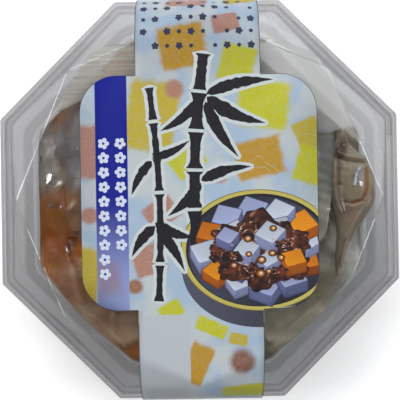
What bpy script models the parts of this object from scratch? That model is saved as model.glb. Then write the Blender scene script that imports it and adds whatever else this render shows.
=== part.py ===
"""A shut clear plastic tub of anmitsu: agar jelly cubes in a clear pouch, with a sachet of syrup and a
sachet of sweet bean paste on top, under an eight-sided lid that a printed paper band holds shut.

Metres, +Z up. The origin is the middle of the foot that the tub stands on. The flats of the tub face
+X, +Y and the diagonals, and the paper band runs along Y. +Y is the top of the print.
"""

import math
import random

import bmesh
import bpy
from mathutils import Euler, Matrix, Vector

MM = 0.001
SIDES = 8
HALF_SIDE = math.pi / SIDES

# Driving sizes of the pack. An apothem is the distance from the middle to a flat.
LID_APOTHEM = 63.4 * MM
PLATEAU_Z = 50.0 * MM
FLANGE_Z = 41.0 * MM
LID_HEM_Z = 35.8 * MM
PLASTIC = 0.45 * MM
GAP = 0.4 * MM

# The lid: a hem, a sloping skirt, a flat flange, and a raised middle whose top is a turned octagon.
SKIRT_LOW_APOTHEM = LID_APOTHEM - 0.7 * MM
SKIRT_LOW_Z = LID_HEM_Z + 0.4 * MM
FLANGE_APOTHEM = LID_APOTHEM - 2.6 * MM
RISE_APOTHEM = LID_APOTHEM - 4.9 * MM
RISE_CORNER = 2.5 * MM
OUTER_CORNER = 0.7 * MM
PLATEAU_CORNER_RADIUS = 55.3 * MM
PLATEAU_ROUNDING = 1.2 * MM

# The tray: a lip under the lid's skirt, a rim, a stacking ledge, a tapered wall and a hollow foot.
RIM_Z = FLANGE_Z - PLASTIC - GAP
RIM_OUTER_APOTHEM = FLANGE_APOTHEM - 0.8 * MM
LIP_APOTHEM = RIM_OUTER_APOTHEM + 1.0 * MM
LIP_Z = 37.0 * MM
RIM_INNER_APOTHEM = 54.9 * MM
LEDGE_TOP_APOTHEM = 53.6 * MM
LEDGE_TOP_Z = 34.0 * MM
WALL_TOP_APOTHEM = 52.4 * MM
WALL_TOP_Z = 33.0 * MM
WALL_LOW_APOTHEM = 44.0 * MM
WALL_LOW_Z = 3.0 * MM
FOOT_OUTER_APOTHEM = 42.0 * MM
FOOT_INNER_APOTHEM = 38.5 * MM
PANEL_APOTHEM = 37.3 * MM
PANEL_RISE = 1.5 * MM
TRAY_CORNER = 6.0 * MM
RIM_CORNER = 2.0 * MM

# The paper band: a strip over the lid with a wide round-cornered panel in its middle.
PAPER = 0.25 * MM
BAND_HALF_WIDTH = 18.8 * MM
PANEL_HALF_WIDTH = 35.6 * MM
PANEL_HALF_LENGTH = 35.2 * MM
PANEL_ROUNDING = 11.0 * MM
PANEL_SHIFT_Y = 2.0 * MM
BAND_END_Z = 11.0 * MM
BAND_JOIN_Z = 24.0 * MM
BAND_COLUMNS = 8
FOLD_ROUNDING = 1.5 * MM
EDGE_ROUNDING = 1.0 * MM
WALL_ROUNDING = 4.0 * MM

# The pouch of agar cubes, which fills the tray and bulges towards the lid on the -Y side.
POUCH_INSET = 4.6 * MM
POUCH_CORNER = 14.0 * MM
POUCH_CORE_Z = 34.0 * MM
POUCH_BULGE = 6.5 * MM
BULGE_START_Y = -13.0 * MM
BULGE_FULL_Y = -24.0 * MM
CUBE = 12.0 * MM
CUBE_CLEARANCE = 0.8 * MM
CUBE_CEILING_Z = 37.6 * MM
WALL_CUBES_PER_ROW = 14
WALL_CUBE_ROWS_Z = (9.0 * MM, 25.0 * MM)
TOP_CUBE_SPACING = 14.0 * MM
TOP_CUBE_REACH = 44.0 * MM
CUBE_APART = 0.85 * CUBE
CUBE_STEP = 0.7 * MM
CUBE_SEED = 8
FLAP_THICKNESS = 0.7 * MM

# The two sachets that lie on the pouch: length, width, thickness, middle, turn.
SACHET_MARGIN = 5.0 * MM
SACHET_EDGE = 0.8 * MM
SYRUP_SIZE = (50.0 * MM, 36.0 * MM, 8.6 * MM)
SYRUP_PLACE = (-24.0 * MM, 12.0 * MM, 42.6 * MM)
SYRUP_TURN = math.radians(80)
BEAN_SIZE = (50.0 * MM, 36.0 * MM, 8.8 * MM)
BEAN_PLACE = (26.5 * MM, 5.0 * MM, 42.7 * MM)
BEAN_TURN = math.radians(-8)

# Points on each ring: on a corner, and between two corners.
PER_CORNER = 4
PER_SIDE = 2


def clear_scene():
    for obj in list(bpy.data.objects):
        bpy.data.objects.remove(obj)


def new_collection(name):
    collection = bpy.data.collections.new(name)
    bpy.context.scene.collection.children.link(collection)
    return collection


def material(name, colour, roughness, alpha=1.0):
    made = bpy.data.materials.new(name)
    made.use_nodes = True
    shader = made.node_tree.nodes["Principled BSDF"]
    shader.inputs["Base Color"].default_value = (*colour, 1.0)
    shader.inputs["Roughness"].default_value = roughness
    shader.inputs["Metallic"].default_value = 0.0
    shader.inputs["Alpha"].default_value = alpha
    return made


def octagon(apothem, corner_radius, per_corner, side_shares, first_corner):
    """Points round an octagon with rounded corners: each corner's arc, then the side after it."""
    arc_middle = (apothem - corner_radius) / math.cos(HALF_SIDE)
    arcs = []
    for k in range(SIDES):
        towards = first_corner + 2 * HALF_SIDE * k
        middle = Vector((math.cos(towards), math.sin(towards))) * arc_middle
        arc = []
        for i in range(per_corner):
            share = i / (per_corner - 1) if per_corner > 1 else 0.5
            angle = towards + HALF_SIDE * (2 * share - 1)
            arc.append(middle + Vector((math.cos(angle), math.sin(angle))) * corner_radius)
        arcs.append(arc)
    points = []
    for k, arc in enumerate(arcs):
        points += arc
        start, end = arc[-1], arcs[(k + 1) % SIDES][0]
        points += [start.lerp(end, share) for share in side_shares]
    return points


def ring(apothem, corner_radius, z):
    """A level octagon with its flats facing +X and +Y."""
    flat = octagon(apothem, corner_radius, PER_CORNER, (0.33, 0.67), HALF_SIDE)
    return [Vector((p.x, p.y, z)) for p in flat]


def turned_ring(corner_distance, corner_radius, z):
    """A level octagon with corners over the flats of ring(), its points in the same order."""
    rounded_off = corner_radius * (1 / math.cos(HALF_SIDE) - 1)
    apothem = (corner_distance + rounded_off) * math.cos(HALF_SIDE)
    flat = octagon(apothem, corner_radius, PER_SIDE, (0.01, 0.34, 0.66, 0.99), 0.0)
    flat = flat[PER_SIDE:] + flat[:PER_SIDE]
    return [Vector((p.x, p.y, z)) for p in flat]


def loft(rings, close_first=False, close_last=False):
    """A mesh through rings of equally many points. A ring is closed with one flat face if asked."""
    mesh = bmesh.new()
    rows = [[mesh.verts.new(p) for p in points] for points in rings]
    count = len(rows[0])
    for low, high in zip(rows, rows[1:]):
        for i in range(count):
            j = (i + 1) % count
            mesh.faces.new((low[i], low[j], high[j], high[i]))
    if close_first:
        mesh.faces.new(list(reversed(rows[0])))
    if close_last:
        mesh.faces.new(rows[-1])
    return mesh


def add_object(name, mesh, collection, look=None):
    data = bpy.data.meshes.new(name)
    mesh.to_mesh(data)
    mesh.free()
    data.shade_smooth()
    data.set_sharp_from_angle(angle=math.radians(25))
    obj = bpy.data.objects.new(name, data)
    collection.objects.link(obj)
    if look:
        data.materials.append(look)
    return obj


def thicken(obj, thickness, outwards):
    solidify = obj.modifiers.new("wall", "SOLIDIFY")
    solidify.thickness = thickness
    solidify.offset = 1.0 if outwards else -1.0
    solidify.use_even_offset = True


def wall_apothem(z):
    """The inner face of the tray's tapered wall at a height."""
    share = (z - WALL_LOW_Z) / (WALL_TOP_Z - WALL_LOW_Z)
    return WALL_LOW_APOTHEM + share * (WALL_TOP_APOTHEM - WALL_LOW_APOTHEM)


def make_lid(collection, look):
    """The outer skin from the hem to the plateau, thickened inwards."""
    skin = loft(
        [
            ring(LID_APOTHEM, OUTER_CORNER, LID_HEM_Z),
            ring(SKIRT_LOW_APOTHEM, OUTER_CORNER, SKIRT_LOW_Z),
            ring(FLANGE_APOTHEM, OUTER_CORNER, FLANGE_Z - 0.3 * MM),
            ring(FLANGE_APOTHEM - 0.3 * MM, OUTER_CORNER, FLANGE_Z),
            ring(RISE_APOTHEM, RISE_CORNER, FLANGE_Z),
            turned_ring(PLATEAU_CORNER_RADIUS, PLATEAU_ROUNDING, PLATEAU_Z),
        ],
        close_last=True,
    )
    lid = add_object("lid", skin, collection, look)
    thicken(lid, PLASTIC, outwards=False)
    return lid


def make_tray(collection, look):
    """The inner skin from the lip to the foot's panel, thickened outwards and down."""
    foot_z = PLASTIC
    skin = loft(
        [
            ring(LIP_APOTHEM, RIM_CORNER, LIP_Z),
            ring(RIM_OUTER_APOTHEM, RIM_CORNER, RIM_Z - 0.4 * MM),
            ring(RIM_OUTER_APOTHEM - 0.4 * MM, RIM_CORNER, RIM_Z),
            ring(RIM_INNER_APOTHEM, TRAY_CORNER, RIM_Z),
            ring(RIM_INNER_APOTHEM - 0.5 * MM, TRAY_CORNER, RIM_Z - 0.7 * MM),
            ring(LEDGE_TOP_APOTHEM, TRAY_CORNER, LEDGE_TOP_Z),
            ring(WALL_TOP_APOTHEM, TRAY_CORNER, WALL_TOP_Z),
            ring(WALL_LOW_APOTHEM, TRAY_CORNER, WALL_LOW_Z),
            ring(FOOT_OUTER_APOTHEM, TRAY_CORNER, foot_z),
            ring(FOOT_INNER_APOTHEM, TRAY_CORNER, foot_z),
            ring(PANEL_APOTHEM, TRAY_CORNER, foot_z + PANEL_RISE),
        ],
        close_last=True,
    )
    tray = add_object("tray", skin, collection, look)
    thicken(tray, PLASTIC, outwards=False)
    return tray


def filleted(corners, per_bend):
    """A path through corners given as (across, up, radius), each bend an arc of equal steps."""
    path = [Vector(corners[0][:2])]
    for before, here, after in zip(corners, corners[1:], corners[2:]):
        corner = Vector(here[:2])
        back = (Vector(before[:2]) - corner).normalized()
        on = (Vector(after[:2]) - corner).normalized()
        half = back.angle(on) / 2
        reach = here[2] / math.tan(half)
        middle = corner + (back + on).normalized() * (here[2] / math.sin(half))
        first = corner + back * reach - middle
        turn = math.pi - 2 * half
        if first.cross(on) < 0:
            turn = -turn
        for i in range(per_bend + 1):
            path.append(middle + Matrix.Rotation(turn * i / per_bend, 2) @ first)
    path.append(Vector(corners[-1][:2]))
    return path


def over_crease(fold, rim, across):
    """The paper's middle corner between its fold and the lid's rim, where the lid's crease lifts it."""
    half_side = RISE_APOTHEM * math.tan(HALF_SIDE)
    crease_top = Vector((PLATEAU_CORNER_RADIUS, PLATEAU_Z))
    crease_foot = Vector((RISE_APOTHEM, FLANGE_Z))
    crease = crease_top.lerp(crease_foot, abs(across) / half_side) + Vector((GAP, GAP))
    run = rim - fold
    along = run.normalized()
    outwards = Vector((-along.y, along.x))
    reach = min(max((crease - fold).dot(along), 0.25 * run.length), 0.75 * run.length)
    return fold + along * reach + outwards * max((crease - fold).dot(outwards), 0.2 * MM)


def band_profile(across):
    """The paper's inner face beside the middle of the lid, from the plateau down to its lower end."""
    on_lid = PLATEAU_Z + GAP
    on_wall = PLASTIC + GAP
    fold_y = PLATEAU_CORNER_RADIUS + 0.5 * MM - abs(across) * math.tan(HALF_SIDE)
    fold = Vector((fold_y, on_lid))
    rim = Vector((FLANGE_APOTHEM + 0.8 * MM, FLANGE_Z + 0.6 * MM))
    corners = [
        (PANEL_HALF_LENGTH + PANEL_SHIFT_Y, on_lid, 0),
        (*fold, FOLD_ROUNDING),
        (*over_crease(fold, rim, across), FOLD_ROUNDING),
        (*rim, EDGE_ROUNDING),
        (LID_APOTHEM + 0.5 * MM, LID_HEM_Z - 0.6 * MM, EDGE_ROUNDING),
        (wall_apothem(BAND_JOIN_Z) + on_wall, BAND_JOIN_Z, WALL_ROUNDING),
        (wall_apothem(BAND_END_Z) + on_wall, BAND_END_Z, 0),
    ]
    return filleted(corners, per_bend=3)


def panel_half_width(along):
    """Half the wide panel's width, at a distance from the panel's middle."""
    past = abs(along) - (PANEL_HALF_LENGTH - PANEL_ROUNDING)
    if past <= 0:
        return PANEL_HALF_WIDTH
    return PANEL_HALF_WIDTH - PANEL_ROUNDING + math.sqrt(max(PANEL_ROUNDING**2 - past**2, 0.0))


def panel_stations():
    """Distances from the panel's middle at which its rows lie, closer together round its corners."""
    straight = PANEL_HALF_LENGTH - PANEL_ROUNDING
    arc = [straight + PANEL_ROUNDING * math.sin(math.radians(a)) for a in (0, 18, 36, 54, 72, 90)]
    return [-s for s in reversed(arc)] + arc


def make_band(collection, look):
    """The paper as a sheet of rows and columns, with a wing beside it on each side, then thickened."""
    mesh = bmesh.new()
    columns = [BAND_HALF_WIDTH * (2 * i / BAND_COLUMNS - 1) for i in range(BAND_COLUMNS + 1)]
    profiles = [band_profile(x) for x in columns]
    rows = []
    for i in reversed(range(1, len(profiles[0]))):
        rows.append([(x, -p[i].x, p[i].y) for x, p in zip(columns, profiles)])
    for along in panel_stations():
        rows.append([(x, PANEL_SHIFT_Y + along, PLATEAU_Z + GAP) for x in columns])
    for i in range(1, len(profiles[0])):
        rows.append([(x, p[i].x, p[i].y) for x, p in zip(columns, profiles)])
    grid = [[mesh.verts.new(p) for p in row] for row in rows]
    for low, high in zip(grid, grid[1:]):
        for i in range(BAND_COLUMNS):
            mesh.faces.new((low[i], low[i + 1], high[i + 1], high[i]))
    first_panel_row = len(profiles[0]) - 1
    add_wings(mesh, grid[first_panel_row : first_panel_row + len(panel_stations())])
    band = add_object("paper_band", mesh, collection, look)
    thicken(band, PAPER, outwards=True)
    return band


def add_wings(mesh, panel_rows):
    """The parts of the panel that stand out past the band."""
    for edge, side in ((-1, 1), (0, -1)):
        outer = []
        for along, row in zip(panel_stations(), panel_rows):
            place = (side * panel_half_width(along), PANEL_SHIFT_Y + along, PLATEAU_Z + GAP)
            outer.append(mesh.verts.new(place))
        inner = [row[edge] for row in panel_rows]
        for i in range(len(outer) - 1):
            face = (inner[i], outer[i], outer[i + 1], inner[i + 1])
            mesh.faces.new(face if side > 0 else tuple(reversed(face)))


def smooth_step(start, end, value):
    share = min(max((value - start) / (end - start), 0.0), 1.0)
    return share * share * (3 - 2 * share)


def pouch_core_rings():
    """Rings of the pouch from its underside to the middle of its top, clear of the tray's wall."""
    levels = [
        (PANEL_APOTHEM + 1.0 * MM, PANEL_RISE + PLASTIC + 0.7 * MM, 0.0),
        (wall_apothem(5 * MM) - POUCH_INSET, 5 * MM, 0.0),
        (wall_apothem(14 * MM) - POUCH_INSET, 14 * MM, 0.0),
        (wall_apothem(24 * MM) - POUCH_INSET, 24 * MM, 0.0),
        (45.0 * MM, POUCH_CORE_Z - 4 * MM, 0.4),
        (39.0 * MM, POUCH_CORE_Z - 1 * MM, 0.9),
        (30.0 * MM, POUCH_CORE_Z, 1.0),
        (15.0 * MM, POUCH_CORE_Z, 1.0),
    ]
    rings = []
    for apothem, z, bulging in levels:
        points = ring(apothem, POUCH_CORNER * apothem / WALL_TOP_APOTHEM, z)
        for p in points:
            p.z += POUCH_BULGE * bulging * smooth_step(BULGE_START_Y, BULGE_FULL_Y, p.y)
        rings.append(points)
    return rings


def octagon_distance(x, y, apothem):
    """How far a point lies outside the flats of an octagon, less than zero inside it."""
    angles = [2 * HALF_SIDE * k for k in range(SIDES)]
    return max(x * math.cos(a) + y * math.sin(a) for a in angles) - apothem


def inside_tub(point):
    """Whether a point keeps clear of the tray's wall, its rounded corners and the sachets."""
    room = wall_apothem(min(point.z, WALL_TOP_Z)) - CUBE_CLEARANCE
    ceiling = CUBE_CEILING_Z
    ceiling += POUCH_BULGE * smooth_step(BULGE_START_Y, BULGE_FULL_Y, point.y)
    rounded = (room - TRAY_CORNER) / math.cos(HALF_SIDE) + TRAY_CORNER
    return (
        octagon_distance(point.x, point.y, room) < 0
        and math.hypot(point.x, point.y) < rounded
        and PANEL_RISE + PLASTIC + CUBE_CLEARANCE < point.z < ceiling
    )


def cube_corners(matrix):
    half = CUBE / 2
    return [
        matrix @ Vector((a, b, c)) for a in (-half, half) for b in (-half, half) for c in (-half, half)
    ]


def first_fit(start, end, turn):
    """Where a turned cube that is moved from a start to an end first lies wholly in its room."""
    steps = int((end - start).length / CUBE_STEP)
    for i in range(steps + 1):
        matrix = Matrix.Translation(start.lerp(end, i / steps)) @ turn
        if all(inside_tub(corner) for corner in cube_corners(matrix)):
            return matrix
    return None


def cube_targets(chance):
    """Start and end points for the cubes that show: rows round the wall, and a grid over the top."""
    middle = Vector((0.0, 0.0, 22.0 * MM))
    for row, z in enumerate(WALL_CUBE_ROWS_Z):
        for i in range(WALL_CUBES_PER_ROW):
            angle = 2 * math.pi * (i + 0.5 * row) / WALL_CUBES_PER_ROW
            yield Vector((LID_APOTHEM * math.cos(angle), LID_APOTHEM * math.sin(angle), z)), middle
    steps = int(TOP_CUBE_REACH // TOP_CUBE_SPACING)
    for i in range(-steps, steps + 1):
        for j in range(-steps, steps + 1):
            x = TOP_CUBE_SPACING * (i + chance.uniform(-0.15, 0.15))
            y = TOP_CUBE_SPACING * (j + chance.uniform(-0.15, 0.15))
            if math.hypot(x, y) < TOP_CUBE_REACH:
                yield Vector((x, y, PLATEAU_Z)), Vector((x, y, middle.z))


def cube_places(chance):
    """Places for the cubes, none of them much inside another."""
    taken = []
    for start, end in cube_targets(chance):
        turn = Euler([chance.uniform(0, math.pi) for _ in range(3)]).to_matrix().to_4x4()
        place = first_fit(start, end, turn)
        if place and all((place.translation - other).length > CUBE_APART for other in taken):
            taken.append(place.translation)
            yield place


def make_flap(collection):
    """The pouch's sealed end: it rises from the pouch's +Y side and is folded forward under the lid."""
    path = [
        (38.0, 30.0, 20.0),
        (44.5, 35.0, 22.0),
        (47.5, 40.0, 24.0),
        (46.5, 44.0, 27.0),
        (42.0, 46.4, 32.0),
        (35.0, 47.0, 36.0),
        (27.0, 46.8, 38.0),
        (24.0, 46.5, 38.5),
    ]
    across = 8
    mesh = bmesh.new()
    rows = []
    for y, z, half_width in path:
        shares = [2 * i / across - 1 for i in range(across + 1)]
        rows.append([mesh.verts.new((half_width * s * MM, y * MM, z * MM)) for s in shares])
    for low, high in zip(rows, rows[1:]):
        for i in range(across):
            mesh.faces.new((low[i], low[i + 1], high[i + 1], high[i]))
    flap = add_object("flap", mesh, collection)
    thicken(flap, FLAP_THICKNESS, outwards=False)


def make_pouch(collection, look):
    """The pouch's body with the cubes that press against its film, and its flap, as one solid."""
    pouch = add_object(
        "agar_pouch", loft(pouch_core_rings(), close_first=True, close_last=True), collection, look
    )
    pressed = new_collection("pressed_cubes")
    for number, place in enumerate(cube_places(random.Random(CUBE_SEED))):
        mesh = bmesh.new()
        bmesh.ops.create_cube(mesh, size=CUBE)
        cube = add_object(f"cube_{number}", mesh, pressed)
        cube.matrix_world = place
    make_flap(pressed)
    union = pouch.modifiers.new("cubes", "BOOLEAN")
    union.operation = "UNION"
    union.operand_type = "COLLECTION"
    union.collection = pressed
    union.solver = "EXACT"
    bpy.context.view_layer.update()
    graph = bpy.context.evaluated_depsgraph_get()
    joined = bpy.data.meshes.new_from_object(pouch.evaluated_get(graph))
    pouch.modifiers.clear()
    pouch.data = joined
    joined.set_sharp_from_angle(angle=math.radians(25))
    for obj in list(pressed.objects):
        bpy.data.objects.remove(obj)
    bpy.data.collections.remove(pressed)
    return pouch


def sachet_outline(length, width, scale, count=32):
    """A rectangle with softly rounded corners."""
    power = 7.0
    points = []
    for i in range(count):
        angle = 2 * math.pi * (i + 0.5) / count
        c, s = math.cos(angle), math.sin(angle)
        reach = (abs(c) ** power + abs(s) ** power) ** (-1 / power)
        points.append((scale * length / 2 * c * reach, scale * width / 2 * s * reach))
    return points


def make_sachet(name, size, place, turn, collection, look):
    """A filled pillow with a flat sealed margin all round, a little wavy at its edge."""
    length, width, thickness = size
    margin_scale = 1 - 2 * SACHET_MARGIN / width
    shares = (1.0, 0.96, margin_scale, 0.62, 0.5, 0.32, 0.12)

    def face_ring(scale, up):
        points = []
        fullness = max(1 - (scale / margin_scale) ** 2.4, 0.0) ** 0.7
        for x, y in sachet_outline(length, width, scale):
            wave = 0.5 * MM * scale**3 * math.sin(5 * math.atan2(y, x) + turn)
            half = SACHET_EDGE / 2 + (thickness - SACHET_EDGE) / 2 * fullness
            points.append(Vector((x, y, wave + up * half)))
        return points

    rings = [face_ring(s, -1) for s in reversed(shares)] + [face_ring(s, 1) for s in shares]
    sachet = add_object(name, loft(rings, close_first=True, close_last=True), collection, look)
    sachet.location = place
    sachet.rotation_euler = (0, 0, turn)
    return sachet


def main():
    clear_scene()
    pack = new_collection("anmitsu_pack")
    clear = material("clear_plastic", (0.78, 0.80, 0.82), 0.12, alpha=0.35)
    paper = material("printed_paper", (0.56, 0.63, 0.70), 0.45)
    film = material("pouch_film_and_jelly", (0.52, 0.40, 0.27), 0.25, alpha=0.8)
    syrup = material("brown_sugar_syrup", (0.10, 0.05, 0.025), 0.15)
    bean = material("bean_paste", (0.16, 0.08, 0.06), 0.35)
    make_tray(pack, clear)
    make_pouch(pack, film)
    make_sachet("syrup_sachet", SYRUP_SIZE, SYRUP_PLACE, SYRUP_TURN, pack, syrup)
    make_sachet("bean_paste_sachet", BEAN_SIZE, BEAN_PLACE, BEAN_TURN, pack, bean)
    make_lid(pack, clear)
    make_band(pack, paper)


main()
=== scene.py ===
"""The looks of a shut clear tub of anmitsu, seen from straight above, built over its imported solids.

The lid, tray, paper band, pouch and sachets of the frame are each replaced by a finer piece of the same
form: faceted clear plastic, printed paper with raised ink, crumpled film, and cubes of jelly that are
dropped into the tub by a rigid body simulation. Lengths are in metres through MM; colours are linear.
"""

import math
import random

import bmesh
import bpy
import numpy as np
from mathutils import Euler, Matrix, Vector, noise
from mathutils.bvhtree import BVHTree

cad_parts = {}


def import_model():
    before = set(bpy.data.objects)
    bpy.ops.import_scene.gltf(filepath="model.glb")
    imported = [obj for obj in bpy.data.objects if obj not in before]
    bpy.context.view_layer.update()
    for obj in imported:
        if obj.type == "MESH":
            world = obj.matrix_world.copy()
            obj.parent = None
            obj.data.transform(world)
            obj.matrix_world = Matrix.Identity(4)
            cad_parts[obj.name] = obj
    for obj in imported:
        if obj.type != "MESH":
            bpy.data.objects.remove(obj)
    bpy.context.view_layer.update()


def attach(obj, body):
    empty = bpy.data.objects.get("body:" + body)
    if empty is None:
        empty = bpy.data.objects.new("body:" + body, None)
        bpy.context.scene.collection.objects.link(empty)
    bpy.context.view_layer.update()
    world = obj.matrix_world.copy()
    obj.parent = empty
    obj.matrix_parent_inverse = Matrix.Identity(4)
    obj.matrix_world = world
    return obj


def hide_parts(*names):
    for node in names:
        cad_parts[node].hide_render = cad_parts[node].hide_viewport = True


MM = 0.001
SIDES = 8
HALF_SIDE = math.pi / SIDES
SEED = 5

# The camera looks straight down from above the lid, turned a little against the tub.
CAMERA_PLACE = (0.13 * MM, -0.35 * MM, 270.0 * MM)
CAMERA_TURN = math.radians(-0.9)
CAMERA_LENS = 65.9

# Sizes that the plastic pieces share with the solids. An apothem is the distance to a flat.
LID_APOTHEM = 63.4 * MM
PLATEAU_Z = 50.0 * MM
FLANGE_Z = 41.0 * MM
LID_HEM_Z = 35.8 * MM
PLASTIC = 0.45 * MM
GAP = 0.4 * MM
FLANGE_APOTHEM = LID_APOTHEM - 2.6 * MM
RISE_APOTHEM = LID_APOTHEM - 4.9 * MM
RISE_CORNER = 2.5 * MM
PLATEAU_CORNER_RADIUS = 55.3 * MM
RIM_Z = FLANGE_Z - PLASTIC - GAP
RIM_OUTER_APOTHEM = FLANGE_APOTHEM - 0.4 * MM
RIM_INNER_APOTHEM = 54.9 * MM
LEDGE_TOP_APOTHEM = 53.6 * MM
LEDGE_TOP_Z = 34.0 * MM
WALL_TOP_APOTHEM = 52.4 * MM
WALL_TOP_Z = 33.0 * MM
WALL_LOW_APOTHEM = 44.0 * MM
WALL_LOW_Z = 3.0 * MM
FOOT_OUTER_APOTHEM = 42.0 * MM
FOOT_INNER_APOTHEM = 38.5 * MM
PANEL_APOTHEM = 37.3 * MM
PANEL_RISE = 1.5 * MM
TRAY_CORNER = 6.0 * MM

# The paper band, as in the solids.
PAPER = 0.25 * MM
BAND_HALF_WIDTH = 18.8 * MM
PANEL_HALF_WIDTH = 35.6 * MM
PANEL_HALF_LENGTH = 35.2 * MM
PANEL_ROUNDING = 11.0 * MM
PANEL_SHIFT_Y = 2.0 * MM
PANEL_END = PANEL_HALF_LENGTH + PANEL_SHIFT_Y
BAND_END_Z = 11.0 * MM
BAND_JOIN_Z = 24.0 * MM
FOLD_ROUNDING = 3.6 * MM
ARCH = 0.14
ARCH_ROUNDING = 0.65
EDGE_ROUNDING = 1.0 * MM
WALL_ROUNDING = 4.0 * MM
PAPER_TOP_Z = PLATEAU_Z + GAP + PAPER
UV_SPAN = 240.0 * MM
INK_STEP = 0.006 * MM
FOLD_START = 47.0 * MM
BENT_LIFT = 0.05 * MM
PRINT_SHADE = 0.69


def linear(*rgb):
    """Linear light from the 0 to 255 values that a screen shows."""
    shares = [v / 255 for v in rgb]
    return tuple(s / 12.92 if s <= 0.04045 else ((s + 0.055) / 1.055) ** 2.4 for s in shares)


def printed(*rgb):
    """The ink that shows as a 0 to 255 colour under the lamps here."""
    return tuple(PRINT_SHADE * c for c in linear(*rgb))


class Look:
    """A material, with short calls that wire its nodes."""

    def __init__(self, name):
        self.material = bpy.data.materials.new(name)
        self.material.use_nodes = True
        self.tree = self.material.node_tree
        self.tree.nodes.clear()
        self.output = self.tree.nodes.new("ShaderNodeOutputMaterial")

    def node(self, kind, inputs=None, **settings):
        made = self.tree.nodes.new("ShaderNode" + kind)
        for name, value in settings.items():
            setattr(made, name, value)
        for name, value in (inputs or {}).items():
            self.plug(made.inputs[name], value)
        return made

    def plug(self, socket, value):
        if isinstance(value, bpy.types.NodeSocket):
            self.tree.links.new(value, socket)
        elif socket.type == "RGBA":
            socket.default_value = (*value, 1.0)
        else:
            socket.default_value = value

    def math(self, operation, *values, clamp=False):
        made = self.node("Math", {i: v for i, v in enumerate(values)}, operation=operation)
        made.use_clamp = clamp
        return made.outputs[0]

    def mix(self, share, below, above):
        made = self.node("Mix", data_type="RGBA")
        for name, value in (("Factor_Float", share), ("A_Color", below), ("B_Color", above)):
            self.plug(next(s for s in made.inputs if s.identifier == name), value)
        return next(s for s in made.outputs if s.identifier == "Result_Color")

    def fade(self, value, start, end):
        """0 before start, 1 after end, and smooth between them."""
        made = self.node("MapRange", {"Value": value, 1: start, 2: end}, interpolation_type="SMOOTHSTEP")
        return made.outputs[0]

    def grain(self, where, scale, detail=3.0, distortion=0.0):
        wiring = {"Vector": where, "Scale": scale, "Detail": detail, "Distortion": distortion}
        return self.node("TexNoise", wiring).outputs["Fac"]

    def places(self):
        """Coordinates fixed to the object, in metres."""
        return self.node("TexCoord").outputs["Object"]

    def bump(self, height, strength, distance):
        wiring = {"Height": height, "Strength": strength, "Distance": distance}
        return self.node("Bump", wiring).outputs[0]

    def show(self, shader):
        self.tree.links.new(shader, self.output.inputs["Surface"])
        return self.material


def principled(look, colour, roughness, **sockets):
    made = look.node("BsdfPrincipled", {"Base Color": colour, "Roughness": roughness})
    for name, value in sockets.items():
        look.plug(made.inputs[name.replace("_", " ")], value)
    return made.outputs[0]


def turned_away(look, normal=None):
    """0 where the surface faces the view, 1 where it is seen edge on."""
    wiring = {"Blend": 0.5} if normal is None else {"Blend": 0.5, "Normal": normal}
    return look.node("LayerWeight", wiring).outputs["Facing"]


def sheen_of_plastic(look, clear, roughness, normal, glancing=0.4, facing=0.035):
    """The clear shader with gloss over it that grows towards a glancing view, from either side."""
    edge_on = turned_away(look, normal)
    share = look.math("MULTIPLY_ADD", look.math("POWER", edge_on, 5.0), glancing, facing)
    gloss = look.node("BsdfGlossy", {"Color": (1, 1, 1), "Roughness": roughness, "Normal": normal})
    return look.node("MixShader", {0: share, 1: clear, 2: gloss.outputs[0]}).outputs[0]


def clear_plastic(name, tint, haze_colour, haze, roughness, ripple_scale, ripple, facing=0.035, broken=False):
    """Thin clear sheet: tinted, a little milky, glossy, with the slow ripple of a formed sheet."""
    look = Look(name)
    where = look.places()
    slow = look.grain(where, ripple_scale, detail=1.0)
    normal = look.bump(slow, ripple, 2.0 * MM)
    deeper = tuple(t**2 for t in tint)
    tone = look.mix(look.math("POWER", turned_away(look), 1.5), tint, deeper)
    through = look.node("BsdfTransparent", {"Color": tone}).outputs[0]
    scuffed = look.fade(look.grain(where, 420.0, detail=6.0, distortion=1.5), 0.45, 0.8)
    milk = look.node("BsdfDiffuse", {"Color": haze_colour}).outputs[0]
    glow = look.node("BsdfTranslucent", {"Color": haze_colour}).outputs[0]
    milky = look.node("MixShader", {0: 0.5, 1: milk, 2: glow}).outputs[0]
    share = look.math("MULTIPLY_ADD", scuffed, 0.5 * haze, haze)
    body = look.node("MixShader", {0: share, 1: through, 2: milky}).outputs[0]
    if broken:
        along = look.fade(look.grain(where, 60.0, detail=2.0), 0.36, 0.62)
        facing = look.math("MULTIPLY_ADD", along, 0.8 * facing, 0.55 * facing)
    return look.show(sheen_of_plastic(look, body, roughness, normal, facing=facing))


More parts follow.
